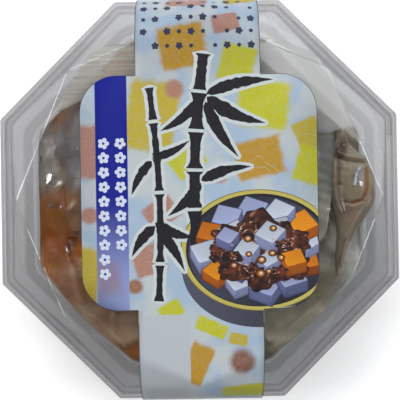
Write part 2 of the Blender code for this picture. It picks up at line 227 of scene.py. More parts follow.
# Where the film is misty, in part real haze and in part painted light that brightens film in the shade of the
# label and sachets: middle and reach in millimetres, the mist's tone, and its share.
FILM_MIST_AND_PAINTED_LIGHT = (
    ((-51.0, 19.0), (7.5, 13.5), (0.58, 0.55, 0.52), 0.75),
    ((-48.3, 8.5), (5.5, 7.5), (0.56, 0.52, 0.46), 0.55),
    ((-38.0, 18.0), (7.0, 15.0), (0.46, 0.45, 0.46), 0.4),
    ((-38.5, -4.5), (4.0, 6.5), (0.66, 0.45, 0.3), 0.45),
    ((-38.6, -17.5), (3.4, 6.0), (0.85, 0.19, 0.0), 0.9),
    ((-46.0, -10.0), (8.0, 12.0), (0.5, 0.22, 0.05), 0.25),
    ((-42.0, -29.0), (10.0, 11.0), (0.58, 0.42, 0.28), 0.5),
    ((-27.0, -39.0), (14.0, 8.0), (0.66, 0.5, 0.34), 0.6),
    # Painted light: lifts the film in the shade of the band and label.
    ((-22.5, -40.0), (5.0, 6.0), (0.95, 0.7, 0.48), 0.6),
    ((38.5, 12.0), (5.5, 16.0), (0.56, 0.56, 0.54), 0.62),
    ((38.0, -8.0), (6.0, 15.0), (0.66, 0.65, 0.56), 0.7),
    # Painted light: lifts the film in the shaded gap between the bean sachet and its gathered end.
    ((43.6, -8.0), (3.6, 9.0), (0.96, 0.95, 0.84), 0.95),
    ((48.4, -19.0), (4.6, 9.5), (0.94, 0.94, 0.9), 0.5),
    ((27.0, -38.0), (16.0, 9.0), (0.9, 0.83, 0.66), 0.7),
)
# Where the film is drawn tight and glints: middle and reach in millimetres, and its gloss.
FILM_GLINTS = (
    ((-45.9, 15.0), (2.6, 1.7), 0.26),
    ((-46.6, 7.0), (2.8, 2.0), 0.55),
    ((-41.8, -15.0), (0.9, 3.0), 0.6),
    ((-38.2, -9.9), (1.0, 0.6), 0.6),
    ((-46.4, -1.4), (2.4, 0.8), 0.4),
    ((40.2, -4.4), (0.7, 1.2), 0.5),
    ((42.0, -7.8), (1.4, 0.6), 0.5),
)


def inside_patch(look, where, middle, reach, uneven):
    """1 well inside an oval of the XY plane, given in millimetres, and 0 outside it."""
    placing = {
        "Vector": where,
        "Location": (middle[0] * MM, middle[1] * MM, 0.0),
        "Scale": (reach[0] * MM, reach[1] * MM, 1.0),
    }
    local = look.node("Mapping", placing, vector_type="TEXTURE").outputs[0]
    off = look.node("VectorMath", {0: local}, operation="LENGTH").outputs["Value"]
    return look.fade(look.math("ADD", off, uneven), 1.25, 0.55)


def film_look(name, tint, milk_tone, haze, steep=1.0, placed=True):
    """Soft thin film: clear where it lies flat, milky where it turns away or is misty, with glints. Some mist
    patches are painted light.
    """
    look = Look(name)
    where = look.places()
    fine = look.grain(where, 330.0, detail=3.0, distortion=1.0)
    normal = look.bump(fine, 0.16, 0.8 * MM)
    through = look.node("BsdfTransparent", {"Color": tint}).outputs[0]
    edge_on = look.math("POWER", turned_away(look), 1.5)
    share = look.math("MULTIPLY_ADD", edge_on, steep, haze)
    tone = look.mix(fine, milk_tone, tuple(0.9 * c for c in milk_tone))
    gloss = 0.013
    if placed:
        tone = look.mix(greyer_side(look, where), (0.58, 0.42, 0.22), tone)
        uneven = look.math("MULTIPLY_ADD", look.grain(where, 110.0), 0.9, -0.45)
        # The mist patches, in part painted light on shaded film.
        for middle, reach, patch_tone, strength in FILM_MIST_AND_PAINTED_LIGHT:
            inside = inside_patch(look, where, middle, reach, uneven)
            share = look.math("MULTIPLY_ADD", inside, strength, share)
            tone = look.mix(inside, tone, patch_tone)
        for middle, reach, shine in FILM_GLINTS:
            gloss = look.math("MULTIPLY_ADD", inside_patch(look, where, middle, reach, uneven), shine, gloss)
        mottled = look.math("MULTIPLY_ADD", look.grain(where, 180.0, detail=2.0, distortion=0.5), 1.0, 0.5)
        tone = look.node("VectorMath", {0: tone, "Scale": mottled}, operation="SCALE").outputs[0]
    else:
        drawn = look.node("VertexColor", layer_name="tone").outputs["Alpha"]
        gloss = look.math("MULTIPLY_ADD", drawn, 0.5, gloss)
    milk = look.node("BsdfDiffuse", {"Color": tone}).outputs[0]
    glow = look.node("BsdfTranslucent", {"Color": tone}).outputs[0]
    milky = look.node("MixShader", {0: 0.35, 1: milk, 2: glow}).outputs[0]
    covered = look.math("MINIMUM", share, 1.0)
    body = look.node("MixShader", {0: covered, 1: through, 2: milky}).outputs[0]
    return look.show(sheen_of_plastic(look, body, 0.09, normal, glancing=0.4, facing=gloss))


def flap_look():
    """The pouch's flat sealed end: milky film with fine drawn lines that fan out across it."""
    look = Look("flap_film")
    where = look.places()
    turned = {"Vector": where, "Rotation": (0.0, 0.0, math.radians(-24)), "Scale": (0.07, 1.0, 0.3)}
    drawn = look.grain(look.node("Mapping", turned).outputs[0], 620.0, detail=3.0, distortion=0.3)
    side = look.node("SeparateXYZ", {0: where}).outputs[0]
    right = look.fade(side, -8.0 * MM, 16.0 * MM)
    normal = look.bump(drawn, look.math("MULTIPLY_ADD", right, -0.27, 0.3), 0.5 * MM)
    through = look.node("BsdfTransparent", {"Color": (0.93, 0.92, 0.88)}).outputs[0]
    tone = look.mix(right, (0.8, 0.78, 0.72), (0.72, 0.74, 0.74))
    milk = look.node("BsdfDiffuse", {"Color": tone, "Normal": normal}).outputs[0]
    lines = look.math("MULTIPLY_ADD", right, -0.27, 0.3)
    least = look.math("MULTIPLY_ADD", right, 0.16, 0.27)
    share = look.math("MULTIPLY_ADD", look.fade(drawn, 0.35, 0.7), lines, least)
    body = look.node("MixShader", {0: share, 1: through, 2: milk}).outputs[0]
    return look.show(sheen_of_plastic(look, body, 0.12, normal, glancing=0.3, facing=0.006))


def greyer_side(look, where):
    """0 on the -X side, where the jelly stands in orange brown juice, and 1 on the +X side."""
    across = look.node("SeparateXYZ", {0: where}).outputs[0]
    return look.fade(across, -28.0 * MM, 16.0 * MM)


def liquid_look():
    """The juice round the jelly: cloudy, orange brown on the -X side and greyer on the +X side."""
    look = Look("pouch_juice")
    where = look.places()
    greyer = greyer_side(look, where)
    cloud = look.grain(where, 70.0, detail=4.0, distortion=0.8)
    thick = look.fade(cloud, 0.4, 0.75)
    brown = look.mix(thick, linear(240, 132, 26), linear(228, 152, 76))
    grey = look.mix(thick, linear(180, 172, 148), linear(204, 196, 176))
    tone = look.mix(greyer, brown, grey)
    tint = look.mix(greyer, (0.92, 0.68, 0.36), (0.86, 0.84, 0.75))
    through = look.node("BsdfTransparent", {"Color": tint}).outputs[0]
    murk = principled(look, tone, 0.4, Specular_IOR_Level=0.1)
    share = look.math("MULTIPLY_ADD", cloud, 0.75, 0.12, clamp=True)
    return look.show(look.node("MixShader", {0: share, 1: through, 2: murk}).outputs[0])


def jelly_look(name, pale, soaked, clear, roughness=0.1):
    """Wet jelly: cloudy inside, pale on the +X side and soaked on the -X side, smooth and wet."""
    look = Look(name)
    where = look.places()
    cloud = look.grain(where, 90.0, detail=3.0)
    patchy = look.math("MULTIPLY_ADD", look.grain(where, 45.0, detail=1.0), 0.6, -0.3)
    paler = look.math("ADD", greyer_side(look, where), patchy, clamp=True)
    tone = look.mix(paler, soaked, pale)
    tone = look.mix(look.math("MULTIPLY", cloud, 0.3), tone, tuple(0.6 * c for c in soaked))
    normal = look.bump(look.grain(where, 240.0), 0.15, 0.5 * MM)
    solid = principled(look, tone, roughness, Normal=normal)
    through = look.node("BsdfTransparent", {"Color": look.mix(0.5, tone, (1, 1, 1))})
    share = look.math("MULTIPLY_ADD", cloud, 0.3, clear - 0.15)
    return look.show(look.node("MixShader", {0: share, 1: solid, 2: through.outputs[0]}).outputs[0])


def thick_sauce_look(name, dark, light, scale, low=None):
    """Bean paste or syrup behind film: mottled, glossy, and of another tone towards -Y if low is given."""
    look = Look(name)
    where = look.places()
    lumps = look.grain(where, scale, detail=5.0, distortion=0.6)
    tone = look.mix(look.fade(lumps, 0.35, 0.7), dark, light)
    if low:
        along = look.node("SeparateXYZ", {0: where}).outputs[1]
        tone = look.mix(look.fade(along, 6.0 * MM, -1.0 * MM), tone, look.mix(lumps, *low))
    normal = look.bump(lumps, 0.5, 0.8 * MM)
    return look.show(principled(look, tone, 0.28, Normal=normal, Coat_Weight=0.4))


def patch(look, paper, below, colour, middle, size, turn=0.0, soft=0.14, round_=False, strength=1.0):
    """Paints a soft-edged, grainy patch of crayon colour on what is below it."""
    placing = {
        "Vector": paper["where"],
        "Location": (middle[0], middle[1], 0.0),
        "Rotation": (0.0, 0.0, math.radians(turn)),
        "Scale": (size[0] / 2, size[1] / 2, 1.0),
    }
    local = look.node("Mapping", placing, vector_type="TEXTURE").outputs[0]
    if round_:
        reach = look.node("VectorMath", {0: local}, operation="LENGTH").outputs["Value"]
    else:
        parts = look.node("SeparateXYZ", {0: local})
        across = look.math("ABSOLUTE", parts.outputs[0])
        along = look.math("ABSOLUTE", parts.outputs[1])
        reach = look.math("SMOOTH_MAX", across, along, 0.2)
    reach = look.math("ADD", reach, paper["ragged"])
    inside = look.fade(reach, 1.0 + soft, 1.0 - soft)
    cover = look.math("MULTIPLY", inside, paper["crayon"], clamp=True)
    return look.mix(look.math("MULTIPLY", cover, strength), below, colour)


def paper_places(look):
    """Paper coordinates in millimetres: across the band, and along it from the tub's middle."""
    uv = look.node("UVMap", uv_map="paper").outputs[0]
    span = UV_SPAN / MM
    placing = {"Vector": uv, "Location": (-span / 2, -span / 2, 0.0), "Scale": (span, span, 1.0)}
    return look.node("Mapping", placing).outputs[0]


OCHRE = printed(168, 128, 14)
YELLOW = printed(172, 154, 40)
LIME = printed(174, 174, 22)
PINK = printed(158, 114, 100)
RUST = printed(138, 94, 58)
DARK_PINK = printed(122, 82, 66)
GROUND_BLUE = printed(150, 170, 190)
GROUND_WHITE = printed(174, 181, 184)
PLAIN_PAPER = printed(170, 176, 181)
STRIP_BLUE = printed(12, 24, 128)
STRIP_PALE = printed(134, 146, 190)

# The patches of colour in the print: colour, middle, size, turn, in paper millimetres and degrees.
SQUARES = (
    (OCHRE, (-4.5, 45.8), (14.0, 13.0), 10),
    (LIME, (11.8, 40.5), (10.5, 11.0), -14),
    (YELLOW, (-14.0, 25.0), (15.0, 21.0), -9),
    (LIME, (19.5, 28.0), (15.5, 14.0), -6),
    (OCHRE, (18.0, 12.0), (14.0, 11.5), 12),
    (YELLOW, (33.0, 19.0), (8.0, 9.0), 25),
    (LIME, (33.5, 9.5), (9.0, 11.0), -18),
    (LIME, (-4.0, 12.0), (10.0, 9.0), 38),
    (PINK, (-33.5, 14.5), (6.5, 16.0), 3),
    (PINK, (-11.5, -4.0), (9.5, 8.0), 35),
    (PINK, (-15.5, -18.0), (9.5, 9.0), 18),
    (YELLOW, (-34.0, -23.0), (8.0, 17.0), -14),
    (LIME, (-9.0, -33.4), (7.0, 5.0), 30),
    (LIME, (3.0, -38.6), (9.5, 4.2), -24),
    (YELLOW, (11.0, -42.2), (5.5, 3.4), -12),
    (OCHRE, (-1.4, -49.5), (7.0, 12.0), -24),
    (PINK, (8.5, 53.0), (8.0, 6.0), 12),
    (PINK, (-3.0, 64.0), (12.0, 9.0), -8),
    (YELLOW, (12.5, 66.0), (9.0, 8.0), 14),
    (LIME, (13.0, -60.5), (14.0, 7.0), 5),
)
DOTS = (
    (PINK, (-7.0, 33.0), 5.6),
    (PINK, (6.2, 7.0), 4.8),
    (PINK, (-33.0, -4.6), 5.2),
    (RUST, (-19.6, -26.0), 4.4),
    (DARK_PINK, (12.2, -49.0), 7.4),
)
STRIP_LEFT = -31.0
STRIP_RIGHT = -21.4
PLAIN_RIGHT = -3.4
PLAIN_TOP = -34.6


def printed_paper():
    """Pale washi ground with soft patches and a blue strip, printed on satin paper, darkened towards the top end
    as painted shade.
    """
    look = Look("printed_paper")
    where = paper_places(look)
    cloud = look.fade(look.grain(where, 0.085, detail=2.0, distortion=0.5), 0.36, 0.62)
    colour = look.mix(cloud, GROUND_BLUE, GROUND_WHITE)
    speckle = look.grain(where, 2.4, detail=6.0)
    threads = look.grain(where, 1.0, detail=2.0, distortion=2.2)
    wobble = look.math("MULTIPLY_ADD", look.grain(where, 0.35, detail=3.0), 0.3, -0.29)
    paper = {
        "where": where,
        "ragged": look.math("MULTIPLY_ADD", speckle, 0.28, wobble),
        "crayon": look.math("MULTIPLY_ADD", look.fade(threads, 0.3, 0.6), 0.22, 0.8),
    }
    for tone, middle, size, turn in SQUARES:
        colour = patch(look, paper, colour, tone, middle, size, turn)
    for tone, middle, across in DOTS:
        colour = patch(look, paper, colour, tone, middle, (across, across), soft=0.34, round_=True)
    specks = look.fade(look.grain(where, 3.4, detail=3.0), 0.54, 0.76)
    colour = look.mix(look.math("MULTIPLY", specks, 0.18), colour, GROUND_WHITE)
    colour = look.mix(pale_threads(look, where), colour, GROUND_WHITE)
    colour = blue_strip(look, paper, colour)
    colour = look.mix(plain_overlap(look, where), colour, PLAIN_PAPER)
    # Painted shade: the whole print is darkened by up to 17 percent towards the band's top end.
    along = look.node("SeparateXYZ", {0: where}).outputs[1]
    deeper = look.math("MULTIPLY_ADD", look.fade(along, 28.0, 44.0), -0.17, 1.0)
    colour = look.node("VectorMath", {0: colour, "Scale": deeper}, operation="SCALE").outputs[0]
    fibres = look.grain(where, 3.0, detail=4.0, distortion=3.0)
    normal = look.bump(fibres, 0.12, 0.15 * MM)
    return look.show(principled(look, colour, 0.6, Normal=normal, Specular_IOR_Level=0.12))


def pale_threads(look, where):
    """A few long fibres that curve through the print, as in hand-made paper."""
    drift = look.grain(where, 0.07, detail=1.0, distortion=1.2)
    off_line = look.math("ABSOLUTE", look.math("SUBTRACT", drift, 0.52))
    line = look.fade(off_line, 0.007, 0.002)
    some = look.fade(look.grain(where, 0.06, detail=0.0), 0.48, 0.56)
    return look.math("MULTIPLY", look.math("MULTIPLY", line, some), 0.6)


def plain_overlap(look, where):
    """The band's unprinted end, which is glued over the printed one below the panel."""
    parts = look.node("SeparateXYZ", {0: where})
    left = look.fade(parts.outputs[0], PLAIN_RIGHT + 0.1, PLAIN_RIGHT - 0.1)
    below = look.fade(parts.outputs[1], PLAIN_TOP + 0.1, PLAIN_TOP - 0.1)
    return look.math("MULTIPLY", left, below)


def blue_strip(look, paper, below):
    """The strip left of the middle: deep blue, fading to a pale violet at its low end."""
    parts = look.node("SeparateXYZ", {0: paper["where"]})
    left = look.fade(parts.outputs[0], STRIP_LEFT - 0.12, STRIP_LEFT + 0.12)
    right = look.fade(parts.outputs[0], STRIP_RIGHT + 0.12, STRIP_RIGHT - 0.12)
    depth = look.fade(parts.outputs[1], -33.0, 2.0)
    tone = look.mix(look.math("POWER", depth, 1.2), STRIP_PALE, STRIP_BLUE)
    tone = patch(look, paper, tone, RUST, (-27.5, -23.5), (6.5, 9.0), 8, soft=0.6, strength=0.5)
    return look.mix(look.math("MULTIPLY", left, right), below, tone)


def ink_look():
    """Printing ink in the colour that each shape carries, with a little of the paper's grain."""
    look = Look("printing_ink")
    tone = look.node("VertexColor", layer_name="ink").outputs[0]
    where = look.places()
    soft = look.grain(where, 900.0, detail=3.0)
    colour = look.mix(look.math("MULTIPLY", soft, 0.05), tone, (0.2, 0.2, 0.22))
    return look.show(principled(look, colour, 0.6, Specular_IOR_Level=0.12))


def paper_back():
    look = Look("paper_back")
    fibres = look.grain(look.places(), 1600.0, detail=4.0)
    colour = look.mix(fibres, linear(176, 176, 172), linear(196, 196, 192))
    return look.show(principled(look, colour, 0.8))


# Painted shade: the paper's cut edge is coloured nearly black, for the shade along the band's edges.
def painted_shade_paper_edge():
    look = Look("paper_cut_edge_painted_shade")
    fibres = look.grain(look.places(), 2500.0, detail=4.0)
    colour = look.mix(fibres, linear(40, 42, 50), linear(70, 72, 80))
    return look.show(principled(look, colour, 0.8))


def link(name, data):
    made = bpy.data.objects.new(name, data)
    bpy.context.scene.collection.objects.link(made)
    return made


def add_object(name, mesh, looks, sharp=25):
    data = bpy.data.meshes.new(name)
    mesh.to_mesh(data)
    mesh.free()
    data.shade_smooth()
    data.set_sharp_from_angle(angle=math.radians(sharp))
    for look in looks:
        data.materials.append(look)
    return link(name, data)


def apply_modifiers(obj):
    """Makes the object's mesh what its modifiers show."""
    graph = bpy.context.evaluated_depsgraph_get()
    shown = bpy.data.meshes.new_from_object(obj.evaluated_get(graph))
    obj.modifiers.clear()
    obj.data = shown
    return obj


def octagon(apothem, corner_radius, per_corner, side_shares, first_corner):
    """Points round an octagon with rounded corners: each corner's arc, then the side after it."""
    arc_middle = (apothem - corner_radius) / math.cos(HALF_SIDE)
    arcs = []
    for k in range(SIDES):
        towards = first_corner + 2 * HALF_SIDE * k
        middle = Vector((math.cos(towards), math.sin(towards))) * arc_middle
        arc = []
        for i in range(per_corner):
            share = i / (per_corner - 1) if per_corner > 1 else 0.5
            angle = towards + HALF_SIDE * (2 * share - 1)
            arc.append(middle + Vector((math.cos(angle), math.sin(angle))) * corner_radius)
        arcs.append(arc)
    points = []
    for k, arc in enumerate(arcs):
        points += arc
        start, end = arc[-1], arcs[(k + 1) % SIDES][0]
        points += [start.lerp(end, share) for share in side_shares]
    return points


def ring(apothem, corner_radius, z, per_corner=4, side_shares=(0.33, 0.67)):
    """A level octagon with its flats facing +X and +Y."""
    flat = octagon(apothem, corner_radius, per_corner, side_shares, HALF_SIDE)
    return [Vector((p.x, p.y, z)) for p in flat]


def turned_ring(corner_distance, corner_radius, z):
    """A level octagon with corners over the flats of ring(), its points in the same order."""
    rounded_off = corner_radius * (1 / math.cos(HALF_SIDE) - 1)
    apothem = (corner_distance + rounded_off) * math.cos(HALF_SIDE)
    flat = octagon(apothem, corner_radius, 2, (0.01, 0.34, 0.66, 0.99), 0.0)
    flat = flat[2:] + flat[:2]
    return [Vector((p.x, p.y, z)) for p in flat]


def loft(rings, close_first=False, close_last=False):
    """A mesh through rings of equally many points."""
    mesh = bmesh.new()
    rows = [[mesh.verts.new(p) for p in points] for points in rings]
    count = len(rows[0])
    for low, high in zip(rows, rows[1:]):
        for i in range(count):
            j = (i + 1) % count
            mesh.faces.new((low[i], low[j], high[j], high[i]))
    if close_first:
        mesh.faces.new(list(reversed(rows[0])))
    if close_last:
        mesh.faces.new(rows[-1])
    return mesh


def soften_and_thicken(obj, width):
    """Rounds a formed sheet's creases, in its second look, whose darker tint is painted shade, thickens it and
    keeps its flats flat.
    """
    bevel = obj.modifiers.new("creases", "BEVEL")
    bevel.width = width
    bevel.segments = 3
    bevel.limit_method = "ANGLE"
    bevel.angle_limit = math.radians(17)
    bevel.material = 1
    solidify = obj.modifiers.new("wall", "SOLIDIFY")
    solidify.thickness = PLASTIC
    solidify.offset = -1.0
    solidify.use_even_offset = True
    apply_modifiers(obj)
    obj.data.shade_smooth()
    obj.data.set_sharp_from_angle(angle=math.radians(30))
    flat = obj.modifiers.new("flat_faces", "WEIGHTED_NORMAL")
    flat.keep_sharp = True
    flat.weight = 90
    return apply_modifiers(obj)


def make_lid(looks):
    """Hem, sloping skirt, flange, and the raised middle with its facets."""
    skin = loft(
        [
            ring(LID_APOTHEM, 0.7 * MM, LID_HEM_Z),
            ring(LID_APOTHEM - 0.7 * MM, 0.7 * MM, LID_HEM_Z + 0.4 * MM),
            ring(FLANGE_APOTHEM, 0.7 * MM, FLANGE_Z),
            ring(RISE_APOTHEM, RISE_CORNER, FLANGE_Z),
            turned_ring(PLATEAU_CORNER_RADIUS, 1.2 * MM, PLATEAU_Z),
        ],
        close_last=True,
    )
    lid = soften_and_thicken(add_object("clear_lid", skin, looks), 0.26 * MM)
    # Painted shade: the skirt and the flange's creases take the hem's darkest tint, and the flat flange a darker
    # tint than the raised middle.
    for face in lid.data.polygons:
        in_flange = face.center.z < FLANGE_Z + 0.6 * MM
        in_skirt = face.center.z < FLANGE_Z - PLASTIC - 0.2 * MM
        if in_skirt or (in_flange and face.material_index == 1):
            face.material_index = 2
        elif in_flange:
            face.material_index = 3
    return lid


def make_tray(looks):
    """Lip, rim, stacking ledge, tapered wall and hollow foot."""

    def level(apothem, corner, z):
        return ring(apothem, corner, z, per_corner=7)

    skin = loft(
        [
            level(RIM_OUTER_APOTHEM + 1.2 * MM, 2.0 * MM, 37.0 * MM),
            level(RIM_OUTER_APOTHEM, 2.0 * MM, RIM_Z),
            level(RIM_INNER_APOTHEM, TRAY_CORNER, RIM_Z),
            level(RIM_INNER_APOTHEM - 0.5 * MM, TRAY_CORNER, RIM_Z - 0.7 * MM),
            level(LEDGE_TOP_APOTHEM, TRAY_CORNER, LEDGE_TOP_Z),
            level(WALL_TOP_APOTHEM, TRAY_CORNER, WALL_TOP_Z),
            level(WALL_LOW_APOTHEM, TRAY_CORNER, WALL_LOW_Z),
            level(FOOT_OUTER_APOTHEM, TRAY_CORNER, PLASTIC),
            level(FOOT_INNER_APOTHEM, TRAY_CORNER, PLASTIC),
            level(PANEL_APOTHEM, TRAY_CORNER, PLASTIC + PANEL_RISE),
        ],
        close_last=True,
    )
    tray = add_object("clear_tray", skin, looks)
    return soften_and_thicken(tray, 0.3 * MM)


def wall_apothem(z):
    """The inner face of the tray's tapered wall at a height."""
    share = (z - WALL_LOW_Z) / (WALL_TOP_Z - WALL_LOW_Z)
    return WALL_LOW_APOTHEM + share * (WALL_TOP_APOTHEM - WALL_LOW_APOTHEM)


def filleted(corners, per_bend):
    """A path through corners given as (across, up, radius), each bend an arc of equal steps."""
    path = [Vector(corners[0][:2])]
    for before, here, after in zip(corners, corners[1:], corners[2:]):
        corner = Vector(here[:2])
        back = (Vector(before[:2]) - corner).normalized()
        on = (Vector(after[:2]) - corner).normalized()
        half = back.angle(on) / 2
        reach = here[2] / math.tan(half)
        middle = corner + (back + on).normalized() * (here[2] / math.sin(half))
        first = corner + back * reach - middle
        turn = math.pi - 2 * half
        if first.cross(on) < 0:
            turn = -turn
        for i in range(per_bend + 1):
            path.append(middle + Matrix.Rotation(turn * i / per_bend, 2) @ first)
    path.append(Vector(corners[-1][:2]))
    return path


def over_crease(fold, rim, across):
    """The bend between the paper's fold and the lid's rim, where it arches over the lid's crease."""
    half_side = RISE_APOTHEM * math.tan(HALF_SIDE)
    crease_top = Vector((PLATEAU_CORNER_RADIUS, PLATEAU_Z))
    crease_foot = Vector((RISE_APOTHEM, FLANGE_Z))
    crease = crease_top.lerp(crease_foot, abs(across) / half_side) + Vector((GAP, GAP))
    run = rim - fold
    along = run.normalized()
    outwards = Vector((-along.y, along.x))
    reach = min(max((crease - fold).dot(along), 0.4 * run.length), 0.6 * run.length)
    bend = fold + along * reach + outwards * max((crease - fold).dot(outwards), ARCH * run.length)
    return (*bend, ARCH_ROUNDING * run.length)


def band_profile(across):
    """The paper's inner face beside the middle of the lid, from the plateau down to its lower end."""
    on_lid = PLATEAU_Z + GAP
    on_wall = PLASTIC + GAP
    fold_y = PLATEAU_CORNER_RADIUS + 0.5 * MM - abs(across) * math.tan(HALF_SIDE)
    fold = Vector((fold_y, on_lid))
    rim = Vector((FLANGE_APOTHEM + 0.8 * MM, FLANGE_Z + 0.6 * MM))
    corners = [
        (PANEL_END, on_lid, 0),
        (*fold, FOLD_ROUNDING * (1 + 2 * abs(across) / BAND_HALF_WIDTH)),
        over_crease(fold, rim, across),
        (*rim, EDGE_ROUNDING),
        (LID_APOTHEM + 0.5 * MM, LID_HEM_Z - 0.6 * MM, EDGE_ROUNDING),
        (wall_apothem(BAND_JOIN_Z) + on_wall, BAND_JOIN_Z, WALL_ROUNDING),
        (wall_apothem(BAND_END_Z) + on_wall, BAND_END_Z, 0),
    ]
    return filleted(corners, per_bend=5)


def band_path(across, side):
    """The profile at one end of the band as 3D points, with the length of paper up to each."""
    length = PANEL_END
    profile = band_profile(across)
    path = []
    for i, p in enumerate(profile):
        if i:
            length += (p - profile[i - 1]).length
        path.append((Vector((across, side * p.x, p.y)), length))
    return path


def on_paper(across, along, lift):
    """Where a point of the print lies in space, lifted off the paper's printed face."""
    if abs(along) > FOLD_START:
        lift += BENT_LIFT
    if abs(along) <= PANEL_END:
        return Vector((across, along, PAPER_TOP_Z + lift))
    side = 1 if along > 0 else -1
    path = band_path(across, side)
    for (start, low), (end, high) in zip(path, path[1:]):
        if high >= abs(along):
            break
    share = (abs(along) - low) / (high - low)
    slope = (end - start).normalized()
    outwards = Vector((0.0, -slope.z * side, slope.y * side))
    return start.lerp(end, min(share, 1.0)) + outwards * (PAPER + lift)


def panel_half_width(along):
    """Half the wide panel's width, at a distance from the panel's middle."""
    past = abs(along) - (PANEL_HALF_LENGTH - PANEL_ROUNDING)
    if past <= 0:
        return PANEL_HALF_WIDTH
    return PANEL_HALF_WIDTH - PANEL_ROUNDING + math.sqrt(max(PANEL_ROUNDING**2 - past**2, 0.0))


def panel_stations():
    """Distances from the panel's middle at which its rows lie, closer together round its corners."""
    straight = PANEL_HALF_LENGTH - PANEL_ROUNDING
    steps = 14
    arc = [straight + PANEL_ROUNDING * math.sin(math.pi / 2 * i / steps) for i in range(steps + 1)]
    flat = [straight * (i / 6 - 1) for i in range(1, 12)]
    return [-s for s in reversed(arc)] + flat + arc


def make_band(looks):
    """The paper: a strip with a wing on each side, with print coordinates, then thickened."""
    columns_count = 16
    mesh = bmesh.new()
    columns = [BAND_HALF_WIDTH * (2 * i / columns_count - 1) for i in range(columns_count + 1)]
    ahead = [band_path(x, 1) for x in columns]
    behind = [band_path(x, -1) for x in columns]
    spots = {}

    def spot(place, across, along):
        vert = mesh.verts.new(place)
        spots[vert] = (across / UV_SPAN + 0.5, along / UV_SPAN + 0.5)
        return vert

    count = len(ahead[0])
    stations = panel_stations()
    rows = []
    for i in reversed(range(1, count)):
        rows.append([spot(path[i][0], x, -path[i][1]) for x, path in zip(columns, behind)])
    for along in stations:
        y = PANEL_SHIFT_Y + along
        rows.append([spot((x, y, PLATEAU_Z + GAP), x, y) for x in columns])
    for i in range(1, count):
        rows.append([spot(path[i][0], x, path[i][1]) for x, path in zip(columns, ahead)])
    for low, high in zip(rows, rows[1:]):
        for i in range(columns_count):
            mesh.faces.new((low[i], low[i + 1], high[i + 1], high[i]))
    panel = rows[count - 1 : count - 1 + len(stations)]
    for edge, side in ((-1, 1), (0, -1)):
        inner = [row[edge] for row in panel]
        outer = []
        for along in stations:
            x = side * panel_half_width(along)
            y = PANEL_SHIFT_Y + along
            outer.append(spot((x, y, PLATEAU_Z + GAP), x, y))
        for i in range(len(stations) - 1):
            face = (inner[i], outer[i], outer[i + 1], inner[i + 1])
            mesh.faces.new(face if side > 0 else tuple(reversed(face)))
    layer = mesh.loops.layers.uv.new("paper")
    for face in mesh.faces:
        for corner in face.loops:
            corner[layer].uv = spots[corner.vert]
    band = add_object("printed_band", mesh, looks)
    solidify = band.modifiers.new("paper", "SOLIDIFY")
    solidify.thickness = PAPER
    solidify.offset = 1.0
    solidify.use_even_offset = True
    solidify.material_offset = 1
    # The rim takes the third look, the cut edge's painted shade.
    solidify.material_offset_rim = 2
    apply_modifiers(band)
    return band


class Print:
    """Flat shapes of ink on the paper. Each shape is a thin solid, a step above the one before it."""

    def __init__(self, name):
        self.name = name
        self.mesh = bmesh.new()
        self.ink = self.mesh.loops.layers.float_color.new("ink")
        self.level = 1

    def polygon(self, outline, tones, level=None):
        """Fills an outline in paper millimetres. tones is a colour, or a colour for each point."""
        lift = INK_STEP * (self.level if level is None else level)
        if not isinstance(tones[0], (tuple, list)):
            tones = [tones] * len(outline)
        tops = [self.mesh.verts.new(on_paper(x * MM, y * MM, lift)) for x, y in outline]
        face = self.mesh.faces.new(tops)
        for corner, tone in zip(face.loops, tones):
            corner[self.ink] = (*tone, 1.0)

    def rings(self, outlines, tones):
        """A shape shaded from its edge to its middle, through outlines of equally many points."""
        lift = INK_STEP * self.level
        rows = [[self.mesh.verts.new(on_paper(x * MM, y * MM, lift)) for x, y in o] for o in outlines]
        count = len(rows[0])
        for r in range(len(rows) - 1):
            for i in range(count):
                j = (i + 1) % count
                face = self.mesh.faces.new((rows[r][i], rows[r][j], rows[r + 1][j], rows[r + 1][i]))
                picks = (tones[r][i], tones[r][j], tones[r + 1][j], tones[r + 1][i])
                for corner, tone in zip(face.loops, picks):
                    corner[self.ink] = (*tone, 1.0)
        face = self.mesh.faces.new(rows[-1])
        for corner, tone in zip(face.loops, tones[-1]):
            corner[self.ink] = (*tone, 1.0)

    def up(self):
        self.level += 1

    def done(self, look):
        bmesh.ops.recalc_face_normals(self.mesh, faces=self.mesh.faces)
        for face in self.mesh.faces:
            if face.normal.z < 0:
                face.normal_flip()
        bmesh.ops.triangulate(self.mesh, faces=[f for f in self.mesh.faces if len(f.verts) > 4])
        made = add_object(self.name, self.mesh, [look])
        solidify = made.modifiers.new("ink", "SOLIDIFY")
        solidify.thickness = 0.6 * INK_STEP
        solidify.offset = -1.0
        apply_modifiers(made)
        made.data.shade_flat()
        return made


def stroke_outline(points, widths):
    """The outline of a brush stroke that runs through points, with a width at each of them."""
    left, right = [], []
    for i, p in enumerate(points):
        ahead = points[min(i + 1, len(points) - 1)] - points[max(i - 1, 0)]
        across = Vector((-ahead.y, ahead.x)).normalized() * (widths[i] / 2)
        left.append(p + across)
        right.append(p - across)
    return [tuple(p) for p in left] + [tuple(p) for p in reversed(right)]


def bent(start, end, bow, count=14):
    """Points from start to end along a shallow arc that bows to the left of the way."""
    start, end = Vector(start), Vector(end)
    way = end - start
    aside = Vector((-way.y, way.x)).normalized() * bow
    return [start + way * t + aside * math.sin(math.pi * t) for t in np.linspace(0, 1, count)]


def leaf_widths(count, width):
    """A brush leaf: pressed soon after its start, then a long thin tip."""
    shares = np.linspace(0, 1, count)
    return [width * max(float(np.sin(np.pi * s**0.62)) ** 0.9, 0.03) for s in shares]


